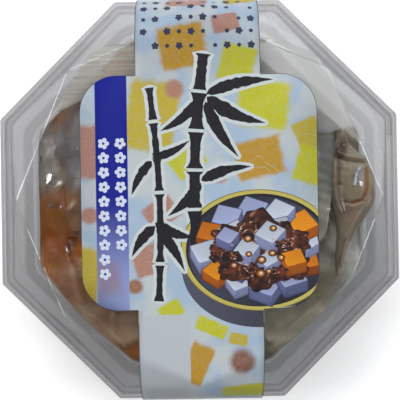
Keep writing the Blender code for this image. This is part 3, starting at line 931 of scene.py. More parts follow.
def ink_strokes():
    """The bamboo: each stroke as its points and widths, in paper millimetres."""
    strokes = []
    stems = (((1.8, 43.5), (-1.2, -15.5), 3.7, 5, -1.4), ((-14.6, 33.5), (-12.6, -30.5), 2.2, 6, 1.6))
    for start, end, width, joints, bow in stems:
        line = bent(start, end, bow, 61)
        for j in range(joints):
            low, high = int(60 * j / joints), int(60 * (j + 1) / joints)
            points = line[low : high + 1]
            trimmed = points[:-1] if j < joints - 1 else points
            shares = np.linspace(0, 1, len(trimmed))
            flare = [width * (0.82 + 0.5 * abs(2 * s - 1) ** 5) for s in shares]
            strokes.append((trimmed, flare))
    leaves = (
        ((2.6, 31.5), (22.5, 35.5), 3.6, 1.2),
        ((2.6, 30.5), (20.0, 22.5), 4.0, -1.4),
        ((2.2, 29.0), (11.8, 12.5), 3.6, -1.0),
        ((0.4, 30.0), (-11.5, 20.5), 3.2, 1.2),
        ((0.6, 5.5), (15.5, 9.5), 3.2, 1.0),
        ((0.4, 4.8), (-9.5, -5.0), 3.2, 0.8),
        ((-14.0, 12.5), (-2.8, 17.5), 2.6, -0.8),
        ((-14.2, 11.5), (-20.3, 1.5), 2.8, -0.8),
        ((-13.4, -7.0), (-1.5, -11.5), 3.2, -1.0),
        ((-13.4, -8.0), (-20.5, -17.0), 3.0, -0.8),
        ((-13.0, -8.6), (-4.8, -21.5), 3.2, 0.8),
    )
    for start, end, width, bow in leaves:
        points = bent(start, end, bow, 18)
        strokes.append((points, leaf_widths(18, width)))
    return strokes


def ragged(points, widths, amount, key):
    """A stroke's widths with the small unevenness of a dry brush."""
    rough = []
    for i, (p, w) in enumerate(zip(points, widths)):
        rough.append(w * (1 + amount * noise.noise(Vector((p.x * 0.9, p.y * 0.9, key)))))
    return rough


def make_ink_motif(look):
    """Brushed bamboo in black, each stroke with a white rim that keeps it off the colours."""
    painted = Print("ink_bamboo")
    strokes = ink_strokes()
    white = printed(184, 192, 194)
    for number, (points, widths) in enumerate(strokes):
        wide = [w + 2.0 for w in widths]
        ahead = (points[0] - points[1]).normalized()
        after = (points[-1] - points[-2]).normalized()
        longer = [points[0] + ahead * 0.9] + points + [points[-1] + after * 0.9]
        outline = stroke_outline(longer, [1.2] + wide + [0.9])
        painted.polygon(outline, white, level=1 + 0.12 * number)
    black = printed(22, 20, 26)
    for number, (points, widths) in enumerate(strokes):
        outline = stroke_outline(points, ragged(points, widths, 0.28, number * 3.7))
        painted.polygon(outline, black, level=5.5 + 0.05 * number)
    return painted.done(look)


def blossom(middle, radius, turn):
    """A five-petalled flower's outline."""
    points = []
    for i in range(50):
        angle = 2 * math.pi * i / 50
        reach = radius * (0.62 + 0.38 * abs(math.cos(2.5 * angle)) ** 0.7)
        x = middle[0] + reach * math.cos(angle + turn)
        y = middle[1] + reach * math.sin(angle + turn)
        points.append((x, y))
    return points


def circle(middle, radius, count=16, squash=1.0):
    steps = [2 * math.pi * i / count for i in range(count)]
    return [(middle[0] + radius * math.cos(a), middle[1] + squash * radius * math.sin(a)) for a in steps]


def make_ornaments(look):
    """White blossoms down the blue strip, and rows of small dark flowers at the band's top end."""
    painted = Print("small_ornaments")
    white = printed(192, 200, 218)
    blue = printed(34, 40, 120)
    for column, (x, first, count) in enumerate(((-28.6, 17.0, 10), (-23.6, 17.0, 8))):
        for i in range(count):
            y = first - 4.35 * i
            painted.polygon(blossom((x, y), 1.75, 0.4 * i + column), white, level=1)
            painted.polygon(circle((x, y), 0.42, 10), blue, level=2)
    ink = printed(40, 44, 70)
    for row in range(5):
        along = 46.0 + 4.3 * row
        for i in range(10):
            x = -16.2 + 3.6 * i
            if (i * 3 + row * 2) % 5 == 0:
                continue
            size = 1.15 if (i + row) % 2 else 0.7
            painted.polygon(blossom((x, along), size, 0.3 * i), ink, level=1)
    return painted.done(look)


BOWL_MIDDLE = Vector((17.6, -15.6))
BOWL_HALF_WIDTH = 23.6
BOWL_HALF_HEIGHT = 18.2
PANEL_EDGE = 35.4


def bowl_outline(scale, drop=0.0, count=72):
    """The bowl's ellipse, cut off where the paper ends."""
    points = []
    for i in range(count):
        angle = 2 * math.pi * i / count
        x = BOWL_MIDDLE.x + scale * BOWL_HALF_WIDTH * math.cos(angle)
        y = BOWL_MIDDLE.y - drop + scale * BOWL_HALF_HEIGHT * math.sin(angle)
        points.append(keep_on_paper(x, y))
    return points


def keep_on_paper(x, y):
    """The nearest place on the printed face: inside the panel, or on the band below it."""
    along = y - PANEL_SHIFT_Y / MM
    if along < -PANEL_HALF_LENGTH / MM + 0.1:
        return (min(x, BAND_HALF_WIDTH / MM - 0.1), y)
    return (min(x, panel_half_width(along * MM) / MM - 0.15), y)


def shaded(tone, share):
    return tuple(min(1.0, c * share) for c in tone)


def towards(outline, middle, share):
    """The outline drawn in towards a place, by a share of the way."""
    return [keep_on_paper(x + (middle[0] - x) * share, y + (middle[1] - y) * share) for x, y in outline]


def jelly_block(painted, middle, size, turn, tones, lean=0.42):
    """A cube of jelly seen from above and in front: its cloudy top, and two sides that are in shade."""
    top_tone, side_tone = tones
    c, s = math.cos(turn), math.sin(turn)
    a = Vector((c, 0.72 * s)) * size
    b = Vector((-s, 0.72 * c)) * size
    down = Vector((0.0, -lean * size))
    m = Vector(middle)
    top = [m - a / 2 - b / 2, m + a / 2 - b / 2, m + a / 2 + b / 2, m - a / 2 + b / 2]
    front = min(range(4), key=lambda i: top[i].y)
    left, right, back = top[(front + 3) % 4], top[(front + 1) % 4], top[(front + 2) % 4]
    near = top[front]
    low = (m.x, m.y + down.y / 2)
    around = [left + down, near + down, right + down, right, back, left]
    rim = towards([tuple(p) for p in around], low, -0.05)
    painted.polygon(rim, shaded(side_tone, 0.42), level=painted.level - 0.5)
    for other, light in ((right, 0.8), (left, 1.0)):
        side = [keep_on_paper(*p) for p in (near, other, other + down, near + down)]
        inner = towards(side, (sum(p[0] for p in side) / 4, sum(p[1] for p in side) / 4), 0.5)
        edge = [shaded(side_tone, light * v) for v in (1.25, 1.1, 0.72, 0.66)]
        painted.rings([side, inner], [edge, [shaded(side_tone, light)] * 4])
    face = [keep_on_paper(*p) for p in (near, right, back, left)]
    cloudy = towards(face, (m.x, m.y + 0.12 * size), 0.45)
    edge = [shaded(top_tone, v) for v in (1.16, 0.98, 0.84, 1.02)]
    painted.rings([face, cloudy], [edge, [shaded(top_tone, v) for v in (1.0, 0.95, 0.9, 0.97)]])
    lit = stroke_outline([left.lerp(near, 0.12), near.lerp(left, 0.1)], [0.1, 0.3])
    painted.polygon([keep_on_paper(*p) for p in lit], shaded(top_tone, 1.3), level=painted.level + 0.3)
    painted.up()


def blob(middle, radius, wobble, key, count=60, squash=0.75):
    """An uneven round outline."""
    points = []
    for i in range(count):
        angle = 2 * math.pi * i / count
        d = Vector((math.cos(angle), math.sin(angle)))
        rough = noise.noise(Vector((d.x * 1.7 + key, d.y * 1.7, key)))
        rough += 0.35 * noise.noise(Vector((d.x * 5.0 + key, d.y * 5.0, key)))
        reach = radius * (1 + wobble * rough)
        points.append(keep_on_paper(middle[0] + reach * d.x, middle[1] + squash * reach * d.y))
    return points


def sauce_pool(painted, middle, radius, key):
    """A pool of dark sauce: nearly black, with glossy red brown lumps and a few glints."""
    dark, warm, glint = printed(26, 12, 14), printed(112, 52, 26), printed(190, 140, 110)
    outlines, tones = [], []
    for share in (1.0, 0.95, 0.86, 0.76, 0.65, 0.53, 0.4, 0.27, 0.13):
        outline = blob(middle, radius * share, 0.5, key)
        outlines.append(outline)
        row = []
        for x, y in outline:
            lump = noise.noise(Vector((x * 0.55, y * 0.8, key + 9)))
            fine = noise.noise(Vector((x * 1.5, y * 2.1, key + 4)))
            light = min(max(0.25 + 1.1 * lump + 0.5 * fine, 0.0), 1.0) * (1 - share) ** 0.25
            shine = min(max(4.0 * (fine - 0.38), 0.0), 1.0) * (1 - share) ** 0.25
            tone = [d + (w - d) * light for d, w in zip(dark, warm)]
            row.append(tuple(t + (g - t) * shine for t, g in zip(tone, glint)))
        tones.append(row)
    painted.rings(outlines, tones)
    painted.up()


def bean(painted, middle, radius):
    """A round glossy bean with a lit top, in a dark ring of sauce."""
    outlines = [circle(middle, radius * s, 18, 0.85) for s in (1.15, 1.0, 0.8, 0.5)]
    outlines.append(circle((middle[0] + 0.25 * radius, middle[1] + 0.3 * radius), radius * 0.16, 18))
    shades = (
        printed(26, 12, 12),
        printed(60, 30, 16),
        printed(116, 66, 18),
        printed(160, 104, 40),
        printed(226, 206, 176),
    )
    painted.rings(outlines, [[tone] * 18 for tone in shades])
    painted.up()


def make_bowl_picture(look):
    """A dark bowl with a gold rim, filled with jelly blocks under dark sauce and beans."""
    painted = Print("bowl_picture")
    slate, deep = printed(74, 76, 92), printed(28, 28, 36)
    gold, gold_dark = printed(176, 164, 84), printed(120, 108, 48)
    tones = []
    for x, _ in bowl_outline(1.0, 5.2):
        share = (x - BOWL_MIDDLE.x) / BOWL_HALF_WIDTH * 0.5 + 0.5
        tones.append(tuple(a + (b - a) * share for a, b in zip(slate, deep)))
    painted.polygon(bowl_outline(0.985, 5.2), tones)
    painted.up()
    painted.polygon(bowl_outline(1.0), gold_dark)
    painted.up()
    painted.polygon(bowl_outline(0.985), gold)
    painted.up()
    painted.polygon(bowl_outline(0.93), deep)
    painted.up()
    inner = []
    for x, y in bowl_outline(0.9, 0.4):
        share = 0.5 + 0.5 * math.sin(math.atan2(y - BOWL_MIDDLE.y, x - BOWL_MIDDLE.x) * 2 + 0.6)
        inner.append(tuple(a + (b - a) * share for a, b in zip(deep, printed(58, 60, 78))))
    painted.polygon(bowl_outline(0.9, 0.4), inner)
    painted.up()
    fill_bowl(painted)
    return painted.done(look)


WHITE_JELLY = (printed(170, 178, 192), printed(118, 124, 158))
CLEAR_JELLY = (printed(140, 149, 182), printed(88, 93, 134))
ORANGE_JELLY = (printed(200, 124, 8), printed(154, 78, 4))
AMBER_JELLY = (printed(190, 104, 8), printed(132, 60, 6))


def in_bowl(x, y):
    return (BOWL_MIDDLE.x + x, BOWL_MIDDLE.y + y)


def fill_bowl(painted):
    """Blocks of jelly round the bowl, sauce over the middle, then a few blocks and beans on it."""
    kinds = (CLEAR_JELLY, WHITE_JELLY, ORANGE_JELLY, WHITE_JELLY, AMBER_JELLY, CLEAR_JELLY)
    chance = random.Random(SEED)
    for ring_share, count, size in ((0.67, 12, 6.9), (0.4, 8, 6.6)):
        for i in range(count):
            angle = math.pi / 2 + 2 * math.pi * (i + 0.35 * ring_share) / count
            x = ring_share * BOWL_HALF_WIDTH * math.cos(angle)
            y = 1.3 + 0.94 * ring_share * BOWL_HALF_HEIGHT * math.sin(angle)
            kind = kinds[(i * 5 + count) % 6]
            light = chance.uniform(0.85, 1.1)
            tones = [shaded(tone, light) for tone in kind]
            side = size * chance.uniform(0.85, 1.12)
            jelly_block(painted, in_bowl(x, y), side, chance.uniform(0.25, 1.35), tones)
    pools = (
        (0.0, 3.4, 9.8),
        (-8.0, 3.4, 6.4),
        (8.6, 2.4, 6.8),
        (2.5, -5.6, 7.6),
        (-6.5, -4.4, 6.2),
        (10.0, -5.0, 5.2),
        (-11.5, -0.6, 3.6),
    )
    for number, (x, y, radius) in enumerate(pools):
        sauce_pool(painted, in_bowl(x, y), radius, 3.1 * number)
    top_blocks = (
        (3.4, 5.4, 6.6, WHITE_JELLY),
        (-3.8, 0.6, 5.8, WHITE_JELLY),
        (10.4, -2.4, 5.8, ORANGE_JELLY),
        (-9.4, 4.6, 5.0, CLEAR_JELLY),
        (2.8, -2.6, 4.8, WHITE_JELLY),
    )
    for x, y, size, tones in top_blocks:
        jelly_block(painted, in_bowl(x, y), size, chance.uniform(0.3, 1.2), tones, lean=0.5)
    for x, y, radius in ((-1.4, -6.2, 3.0), (7.0, 1.4, 2.2), (-7.4, -2.0, 2.6), (5.6, -7.0, 2.6)):
        sauce_pool(painted, in_bowl(x, y), radius, x)
    for i in range(9):
        angle = chance.uniform(0, 2 * math.pi)
        reach = chance.uniform(3.5, 10.5)
        bean(painted, in_bowl(reach * math.cos(angle), 0.7 * reach * math.sin(angle)), chance.uniform(0.9, 1.4))
    for i in range(22):
        angle = chance.uniform(0, 2 * math.pi)
        reach = chance.uniform(2.0, 11.0)
        start = Vector(in_bowl(reach * math.cos(angle), 1 + 0.7 * reach * math.sin(angle)))
        tilt = chance.uniform(-0.9, 0.9)
        end = start + Vector((math.cos(tilt), math.sin(tilt))) * chance.uniform(0.7, 1.7)
        line = bent(start, end, 0.25, 8)
        painted.polygon(stroke_outline(line, leaf_widths(8, 0.3)), printed(196, 166, 150))
    painted.up()


def make_painted_edge_shadow(look):
    """Painted shadow: a fine dark line along the panel's outline and the band's sides, standing in for the shade
    at the paper's cut edge.
    """
    painted = Print("painted_edge_shadow")
    dark = printed(44, 50, 64)
    inset, width = 0.08, 0.14
    panel = []
    for along in panel_stations():
        panel.append((panel_half_width(along), PANEL_SHIFT_Y + along))
    for side in (-1, 1):
        inner_edge = BAND_HALF_WIDTH / MM
        outline = [Vector((inner_edge, panel[0][1] / MM + inset))]
        outline += [Vector((x / MM - inset, y / MM)) for x, y in panel]
        outline += [Vector((inner_edge, panel[-1][1] / MM - inset))]
        flipped = [Vector((side * p.x, p.y)) for p in outline]
        for a, b in zip(flipped, flipped[1:]):
            painted.polygon(stroke_outline([a, b], [width, width]), dark, level=1)
        for end in (-1, 1):
            x = side * (BAND_HALF_WIDTH / MM - inset)
            steps = np.linspace(PANEL_END / MM, 80.0, 60)
            for low, high in zip(steps, steps[1:]):
                a = Vector((x, end * float(low)))
                b = Vector((x, end * float(high)))
                painted.polygon(stroke_outline([a, b], [width, width]), dark, level=1)
    return painted.done(look)


TUB_SCALE = 100.0
CUBE = 10.9 * MM
CUBES_ACROSS = 6
CUBE_LAYERS = 5


def rounded_cube(size, rounding, bulge):
    """A cube with soft edges whose faces are cut a little unevenly."""
    mesh = bmesh.new()
    bmesh.ops.create_cube(mesh, size=size)
    edges = list(mesh.edges)
    bmesh.ops.bevel(mesh, geom=edges, offset=rounding, segments=2, affect="EDGES", profile=0.5)
    for vert in mesh.verts:
        vert.co += vert.co.normalized() * noise.noise(vert.co / size * 1.3 + Vector((bulge, 0, 0))) * 0.05 * size
    return mesh


def drop_cubes(chance):
    """Drops cubes into a tub a hundred times life size and returns where they come to rest."""
    scene = bpy.context.scene
    falling = bpy.data.collections.new("falling")
    scene.collection.children.link(falling)
    bpy.ops.rigidbody.world_add()
    world = scene.rigidbody_world
    world.collection = falling
    world.substeps_per_frame = 12
    world.solver_iterations = 20
    scene.gravity = (0.0, -8.0, -40.0)
    frames = 150
    world.point_cache.frame_end = frames

    def body(obj, kind, shape):
        falling.objects.link(obj)
        obj.rigid_body.type = kind
        obj.rigid_body.collision_shape = shape
        obj.rigid_body.friction = 0.25
        obj.rigid_body.use_margin = True
        obj.rigid_body.collision_margin = 0.0

    inset = 0.9 * MM
    wall = loft(
        [
            ring(wall_apothem(75 * MM) - inset, TRAY_CORNER, 75 * MM),
            ring(wall_apothem(WALL_LOW_Z) - inset, TRAY_CORNER, WALL_LOW_Z),
        ],
        close_last=True,
    )
    bmesh.ops.scale(wall, vec=(TUB_SCALE,) * 3, verts=wall.verts)
    tub = add_object("tub_guide", wall, [])
    body(tub, "PASSIVE", "MESH")
    cubes = []
    middle = (CUBES_ACROSS - 1) / 2
    for i in range(CUBE_LAYERS * CUBES_ACROSS**2):
        mesh = bmesh.new()
        bmesh.ops.create_cube(mesh, size=CUBE * TUB_SCALE)
        cube = add_object(f"falling_{i}", mesh, [])
        layer, slot = divmod(i, CUBES_ACROSS**2)
        x, y = divmod(slot, CUBES_ACROSS)
        cube.location = ((x - middle) * 1.5, (y - middle) * 1.5, 2.2 + 1.65 * layer)
        cube.rotation_euler = [chance.uniform(0, math.pi) for _ in range(3)]
        body(cube, "ACTIVE", "BOX")
        cubes.append(cube)
    for frame_number in range(1, frames + 1):
        scene.frame_set(frame_number)
    graph = bpy.context.evaluated_depsgraph_get()
    places = []
    for cube in cubes:
        place = cube.evaluated_get(graph).matrix_world.copy()
        place.translation = place.translation / TUB_SCALE
        if cube_fits(place):
            places.append(place)
    scene.frame_set(1)
    bpy.ops.rigidbody.world_remove()
    for obj in cubes + [tub]:
        bpy.data.objects.remove(obj)
    bpy.data.collections.remove(falling)
    return places


def cube_fits(place):
    """True for a cube that came to rest inside the tub and under the film."""
    corners = [Vector((x, y, z)) * CUBE / 2 for x in (-1, 1) for y in (-1, 1) for z in (-1, 1)]
    if past_line(place.translation) > -0.45 * CUBE:
        return False
    for corner in corners:
        p = place @ corner
        if p.z > film_ceiling(p.y) or Vector((p.x, p.y)).length > WALL_TOP_APOTHEM + 2 * MM:
            return False
    return True


def make_cubes(places, white_look, orange_look):
    """The jelly: clear white cubes, and orange ones in a few groups, as two pieces."""
    groups = {"white": bmesh.new(), "orange": bmesh.new()}
    orange_numbers = orange_ones(places)
    for number, place in enumerate(places):
        kind = "orange" if number in orange_numbers else "white"
        cube = rounded_cube(CUBE * 0.95, 0.9 * MM, number * 1.7)
        nudge = [math.radians(9) * noise.noise(Vector((number * 0.73, axis * 5.1, 0.4))) for axis in range(3)]
        cube.transform(place @ Euler(nudge).to_matrix().to_4x4())
        data = bpy.data.meshes.new("one_cube")
        cube.to_mesh(data)
        cube.free()
        groups[kind].from_mesh(data)
        bpy.data.meshes.remove(data)
    white = add_object("agar_cubes", groups["white"], [white_look], sharp=40)
    orange = add_object("orange_cubes", groups["orange"], [orange_look], sharp=40)
    return white, orange


# Where orange cubes show beside the label, in millimetres.
ORANGE_SPOTS = ((-46, -2), (-47, -11), (-38, -10), (-37, -19), (-46, 26), (-27, -43), (-19, -47))
ORANGE_LEVEL = 33.0


def orange_ones(places):
    """The numbers of the orange cubes: the nearest to each spot, and every ninth of the others."""
    picked = set(range(3, len(places), 9))
    for x, y in ORANGE_SPOTS:
        spot = Vector((x, y, ORANGE_LEVEL)) * MM
        picked.add(min(range(len(places)), key=lambda i: (places[i].translation - spot).length))
    return picked


GRID = 1.0 * MM
GRID_HALF = 56
SLACK = 3.2 * MM


def height_grid(cubes):
    """The height of a skin drawn over the heap and its juice, on a square grid round the tub's middle."""
    trees = []
    for obj in cubes:
        corners = [v.co.copy() for v in obj.data.vertices]
        trees.append(BVHTree.FromPolygons(corners, [p.vertices[:] for p in obj.data.polygons]))
    size = 2 * GRID_HALF + 1
    heights = np.zeros((size, size))
    for i in range(size):
        for j in range(size):
            above = Vector(((i - GRID_HALF) * GRID, (j - GRID_HALF) * GRID, 0.2))
            for tree in trees:
                hit = tree.ray_cast(above, Vector((0, 0, -1)))[0]
                if hit is not None:
                    heights[i, j] = max(heights[i, j], hit.z)
    ceiling = np.array([[film_ceiling((j - GRID_HALF) * GRID) for j in range(size)]] * size)
    lowest = np.clip(heights + 0.3 * MM, ceiling - SLACK, ceiling)
    skin = lowest.copy()
    for _ in range(60):
        around = np.roll(skin, 1, 0) + np.roll(skin, -1, 0) + np.roll(skin, 1, 1) + np.roll(skin, -1, 1)
        skin = np.maximum(lowest, around / 4 - 0.02 * MM)
    return skin


def grid_height(skin, x, y):
    """The height of the skin between the points of its grid."""
    u, v = x / GRID + GRID_HALF, y / GRID + GRID_HALF
    i, j = int(u), int(v)
    a, b = u - i, v - j
    low = skin[i, j] * (1 - a) + skin[i + 1, j] * a
    high = skin[i, j + 1] * (1 - a) + skin[i + 1, j + 1] * a
    return low * (1 - b) + high * b


# Folds in the pouch's film that show beside the label: each line, then width and height, in millimetres.
SEEN_FOLDS = (
    (((-49.0, 13.5), (-45.0, 17.0), (-41.0, 18.5)), 0.8, 1.1),
    (((-47.6, 13.6), (-44.4, 16.4)), 1.3, 0.7),
    (((-49.0, 5.4), (-46.0, 8.2)), 1.3, 0.7),
    (((-48.0, 18.5), (-42.0, 9.0), (-35.0, -2.0)), 1.6, 1.6),
    (((-46.5, 19.0), (-39.0, 8.0), (-33.0, -1.0)), 0.6, 1.0),
    (((-49.5, 0.5), (-44.0, -1.0), (-37.0, -6.0)), 0.8, 1.3),
    (((-43.5, -12.5), (-41.0, -19.0)), 0.5, 1.2),
    (((-40.0, -9.4), (-36.0, -10.6)), 0.5, 0.9),
    (((-47.0, -14.0), (-40.0, -21.0), (-37.0, -31.0)), 1.0, 1.0),
    (((-50.0, 22.0), (-44.0, 30.0), (-36.0, 35.0)), 1.2, 1.5),
    (((-38.0, -33.0), (-31.0, -38.0), (-24.0, -45.0)), 0.9, 1.2),
    (((40.8, 18.0), (39.6, 8.0), (39.8, 0.0), (41.4, -5.2), (45.0, -7.6), (49.0, -5.6)), 0.5, 1.3),
    (((38.9, 12.0), (38.2, 2.0), (39.0, -5.0), (42.0, -9.2), (46.5, -10.0)), 0.4, 0.9),
    (((50.0, -10.0), (45.0, -18.0), (41.0, -30.0)), 0.8, 1.0),
    (((44.0, -26.0), (36.0, -33.0), (27.0, -41.0)), 0.8, 1.2),
    (((31.0, -44.0), (24.0, -46.0), (20.0, -44.0)), 0.6, 1.0),
)


def make_folds(chance, count):
    """Those folds, and others scattered over the rest of the film."""
    folds = list(SEEN_FOLDS)
    for _ in range(count):
        middle = Vector((chance.uniform(-44, 44), chance.uniform(-44, 44)))
        half = Matrix.Rotation(chance.uniform(0, math.pi), 2) @ Vector((chance.uniform(3, 9), 0))
        line = (middle - half, middle + Vector((-half.y, half.x)) * 0.2, middle + half)
        folds.append((line, chance.uniform(0.5, 1.1), chance.uniform(0.5, 1.2)))
    return folds


def off_line(x, y, line):
    """How far points lie from a line through several places, all in millimetres."""
    off = np.full(len(x), 99.0)
    for a, b in zip(line, line[1:]):
        run = (b[0] - a[0], b[1] - a[1])
        share = ((x - a[0]) * run[0] + (y - a[1]) * run[1]) / (run[0] ** 2 + run[1] ** 2)
        share = np.clip(share, 0, 1)
        off = np.minimum(off, np.hypot(x - a[0] - share * run[0], y - a[1] - share * run[1]))
    return off


def fold_lift(x, y, folds):
    """How far the folds raise the film over points given in millimetres: soft ridges along lines."""
    lift = np.zeros(len(x))
    for line, width, height in folds:
        lift += height * np.exp(-((off_line(x, y, line) / width) ** 2))
    return lift


SIDE_HEIGHTS = (2.9, 3.6, 6, 9, 12, 15, 18, 21, 24, 27, 30, 32)
POUCH_EDGE_Z = 33.0 * MM


def pouch_rings(skin, inset, drop, per_corner, per_side, top_steps):
    """Rings of points up the pouch's side and in over its top to the middle."""
    sides = tuple((i + 1) / (per_side + 1) for i in range(per_side))
    rings = []
    for z in SIDE_HEIGHTS:
        inwards = inset if z > 3 else inset + 2.3 * MM
        rings.append(ring(wall_apothem(z * MM) - inwards, 6.5 * MM, z * MM, per_corner, sides))
    edge = ring(wall_apothem(POUCH_EDGE_Z) - inset, 7 * MM, POUCH_EDGE_Z, per_corner, sides)
    rings.append(edge)
    for k in range(1, top_steps):
        share = (1 - k / top_steps) ** 0.9
        blend = min(1.0, (1 - share) / 0.045)
        points = []
        for p in edge:
            z = p.z * (1 - blend) + (grid_height(skin, p.x * share, p.y * share) - drop) * blend
            points.append(Vector((p.x * share, p.y * share, z)))
        rings.append(points)
    for points in rings:
        for p in points:
            bulge_over_ledge(p)
    return rings


def eased(share):
    """0 up to 0, 1 from 1 on, and smooth between them."""
    share = min(max(share, 0.0), 1.0)
    return share * share * (3 - 2 * share)


def bulge_over_ledge(p):
    """Pushes what stands higher than the tray's ledge on the -Y side outwards over it."""
    raised = eased((p.z - LEDGE_TOP_Z + 0.5 * MM) / (2.5 * MM))
    to_front = eased((-p.y - 15 * MM) / (15 * MM))
    to_flat = 0.75 + 0.25 * math.cos(SIDES * math.atan2(p.y, p.x))
    p.xy *= 1 + 0.045 * raised * to_front * to_flat


def make_film(skin, look):
    """The pouch's film: a closed skin over the heap, down the wall and under it, folded and crumpled."""
    rings = pouch_rings(skin, 0.45 * MM, 0.0, per_corner=14, per_side=24, top_steps=92)
    folds = make_folds(random.Random(SEED), 54)
    for number, points in enumerate(rings[1:]):
        for p in points:
            p += crumple(p)
        if number < len(SIDE_HEIGHTS) - 1:
            continue
        x = np.array([p.x / MM for p in points])
        y = np.array([p.y / MM for p in points])
        for p, up in zip(points, fold_lift(x, y, folds)):
            p.z += float(up) * MM
    return add_object("pouch_film", loft(rings, close_first=True, close_last=True), [look], sharp=75)


# The pouch's corner that holds nothing, beyond a line: the line's direction and its distance.
EMPTY_WAY = Vector((math.cos(-HALF_SIDE), math.sin(-HALF_SIDE)))
EMPTY_FROM = 48.5 * MM


def past_line(p):
    """How far a place lies in the pouch's empty corner."""
    return p.x * EMPTY_WAY.x + p.y * EMPTY_WAY.y - EMPTY_FROM


def make_liquid(skin, look):
    """The juice that fills the pouch between the cubes, just inside its film, but for one corner."""
    rings = pouch_rings(skin, 0.6 * MM, 0.35 * MM, per_corner=8, per_side=9, top_steps=44)
    for points in rings:
        for p in points:
            back = max(past_line(p), 0.0) * 0.9
            p.x -= EMPTY_WAY.x * back
            p.y -= EMPTY_WAY.y * back
    return add_object("pouch_juice", loft(rings, close_first=True, close_last=True), [look], sharp=75)


def film_ceiling(y):
    """The highest that the pouch may reach: under the sachets, then up to the lid on the -Y side."""
    return (37.9 + 6.2 * eased((-13 * MM - y) / (11 * MM))) * MM


def crumple(p):
    """Sharp-ridged small folds of thin film."""
    inwards = Vector((-p.x, -p.y, 0)).normalized() * 0.4
    return (Vector((0, 0, 0.8)) + inwards) * creases(p / MM, 9.0, 1.5) * MM


def creases(p, cell, depth):
    """A height for crumpled film: points and straight ridges, as between cells, at two sizes."""
    height = 0.0
    for size, share in ((cell, 1.0), (cell * 0.42, 0.35)):
        warped = p / size + noise.noise_vector(p / size * 0.6) * 0.5
        near = noise.voronoi(warped)[0]
        height += share * (near[0] - 0.5 + 0.35 * (near[1] - near[0]))
    return depth * height


def make_flap(look):
    """The pouch's sealed end, folded forward under the lid, crumpled."""
    path = (
        (40.0, 32.5, 20.0, 20.0),
        (45.5, 36.0, 22.0, 22.0),
        (48.5, 40.0, 24.0, 24.0),
        (48.0, 44.0, 27.5, 28.0),
        (45.0, 46.0, 32.5, 34.5),
        (40.0, 46.8, 37.5, 40.5),
        (35.5, 46.9, 41.0, 44.5),
        (31.0, 46.7, 43.5, 47.5),
    )
    across_count, per_step = 64, 5
    mesh = bmesh.new()
    rows = []
    for k in range((len(path) - 1) * per_step + 1):
        i, share = min(k // per_step, len(path) - 2), k / per_step - min(k // per_step, len(path) - 2)
        y, z, left, right = [a + (b - a) * share for a, b in zip(path[i], path[i + 1])]
        row = []
        for j in range(across_count + 1):
            across = 2 * j / across_count - 1
            x = across * (right if across > 0 else left)
            q = Vector((x * 0.16, y * 0.07, z * 0.05))
            fold = 1 - 2.2 * abs(noise.noise(q)) + 0.5 * noise.noise(q * 2.7)
            dip = -0.5 * max(fold, -0.2) - 0.5
            to_front = max(k / per_step - 4, 0.0) / (len(path) - 5)
            to_right = min(max(x / 20, 0.0), 1.0)
            drawn = 11.5 * to_front * to_right
            drawn += 0.45 * max(-x - 34.0, 0.0) - 0.25 * to_front * max(x - 40.0, 0.0)
            row.append(mesh.verts.new((x * MM, (y + 0.3 * fold - drawn) * MM, (z + dip) * MM)))
        rows.append(row)
    for low, high in zip(rows, rows[1:]):
        for j in range(across_count):
            mesh.faces.new((low[j], low[j + 1], high[j + 1], high[j]))
    flap = add_object("pouch_flap", mesh, [look], sharp=60)
    solidify = flap.modifiers.new("film", "SOLIDIFY")
    solidify.thickness = 0.12 * MM
    return apply_modifiers(flap)


SACHET_MARGIN = 5.0 * MM
SYRUP = ((50.0 * MM, 38.0 * MM, 8.6 * MM), (-26.0 * MM, 12.0 * MM, 42.6 * MM), math.radians(80))
BEAN = ((40.0 * MM, 36.0 * MM, 8.8 * MM), (21.5 * MM, 5.0 * MM, 42.7 * MM), math.radians(-8))


def sachet_mesh(size, turn, shrink, filled_only, pleats):
    """A filled pillow with wrinkles that run in from its flat sealed margin, and a pleated +X end."""
    length, width, thickness = size
    margin = 1 - 2 * SACHET_MARGIN / width
    outer = margin * 0.97 if filled_only else 1.0
    shares = [outer * s for s in (1.0, 0.985, 0.95, 0.9, 0.84, 0.78, 0.72, 0.66, 0.6, 0.5, 0.4, 0.28, 0.14)]
    count = 160

    def face_ring(scale, up):
        points = []
        full = max(1 - (scale / margin) ** 2.4, 0.0) ** 0.7
        for i in range(count):
            angle = 2 * math.pi * (i + 0.5) / count
            c, s = math.cos(angle), math.sin(angle)
            reach = (abs(c) ** 7 + abs(s) ** 7) ** (-1 / 7)
            x, y = scale * length / 2 * c * reach, scale * width / 2 * s * reach
            q = Vector((c * 5, s * 5, scale * 2.5 + up + turn))
            pucker = noise.noise(q) * 1.1 * MM * math.exp(-(((scale - margin) / 0.2) ** 2))
            wave = 0.5 * MM * scale**3 * math.sin(5 * math.atan2(y, x) + turn)
            dents = creases(Vector((x / MM, y / MM, 40 * up + 9 * turn)), 8.0, 1.3) * MM * full
            at_end = min(max((x / length - 0.12) / 0.3, 0.0), 1.0)
            along = y / MM * 1.05 + 2.2 * noise.noise(Vector((x / MM * 0.12, y / MM * 0.1, turn)))
            fold = pleats * at_end * (1 - 2 * abs(math.sin(along))) * (0.35 + 0.65 * full)
            half = 0.2 * MM + (thickness / 2 - 0.2 * MM - 0.35 * pleats * at_end) * full
            z = wave + pucker * (0.4 + 0.6 * full) + up * (half - shrink * min(full * 3, 1))
            points.append(Vector((x, y, z + up * min(dents, 0.0) + fold)))
        return points

    rings = [face_ring(s, -1) for s in reversed(shares)] + [face_ring(s, 1) for s in shares]
    return loft(rings, close_first=True, close_last=True)


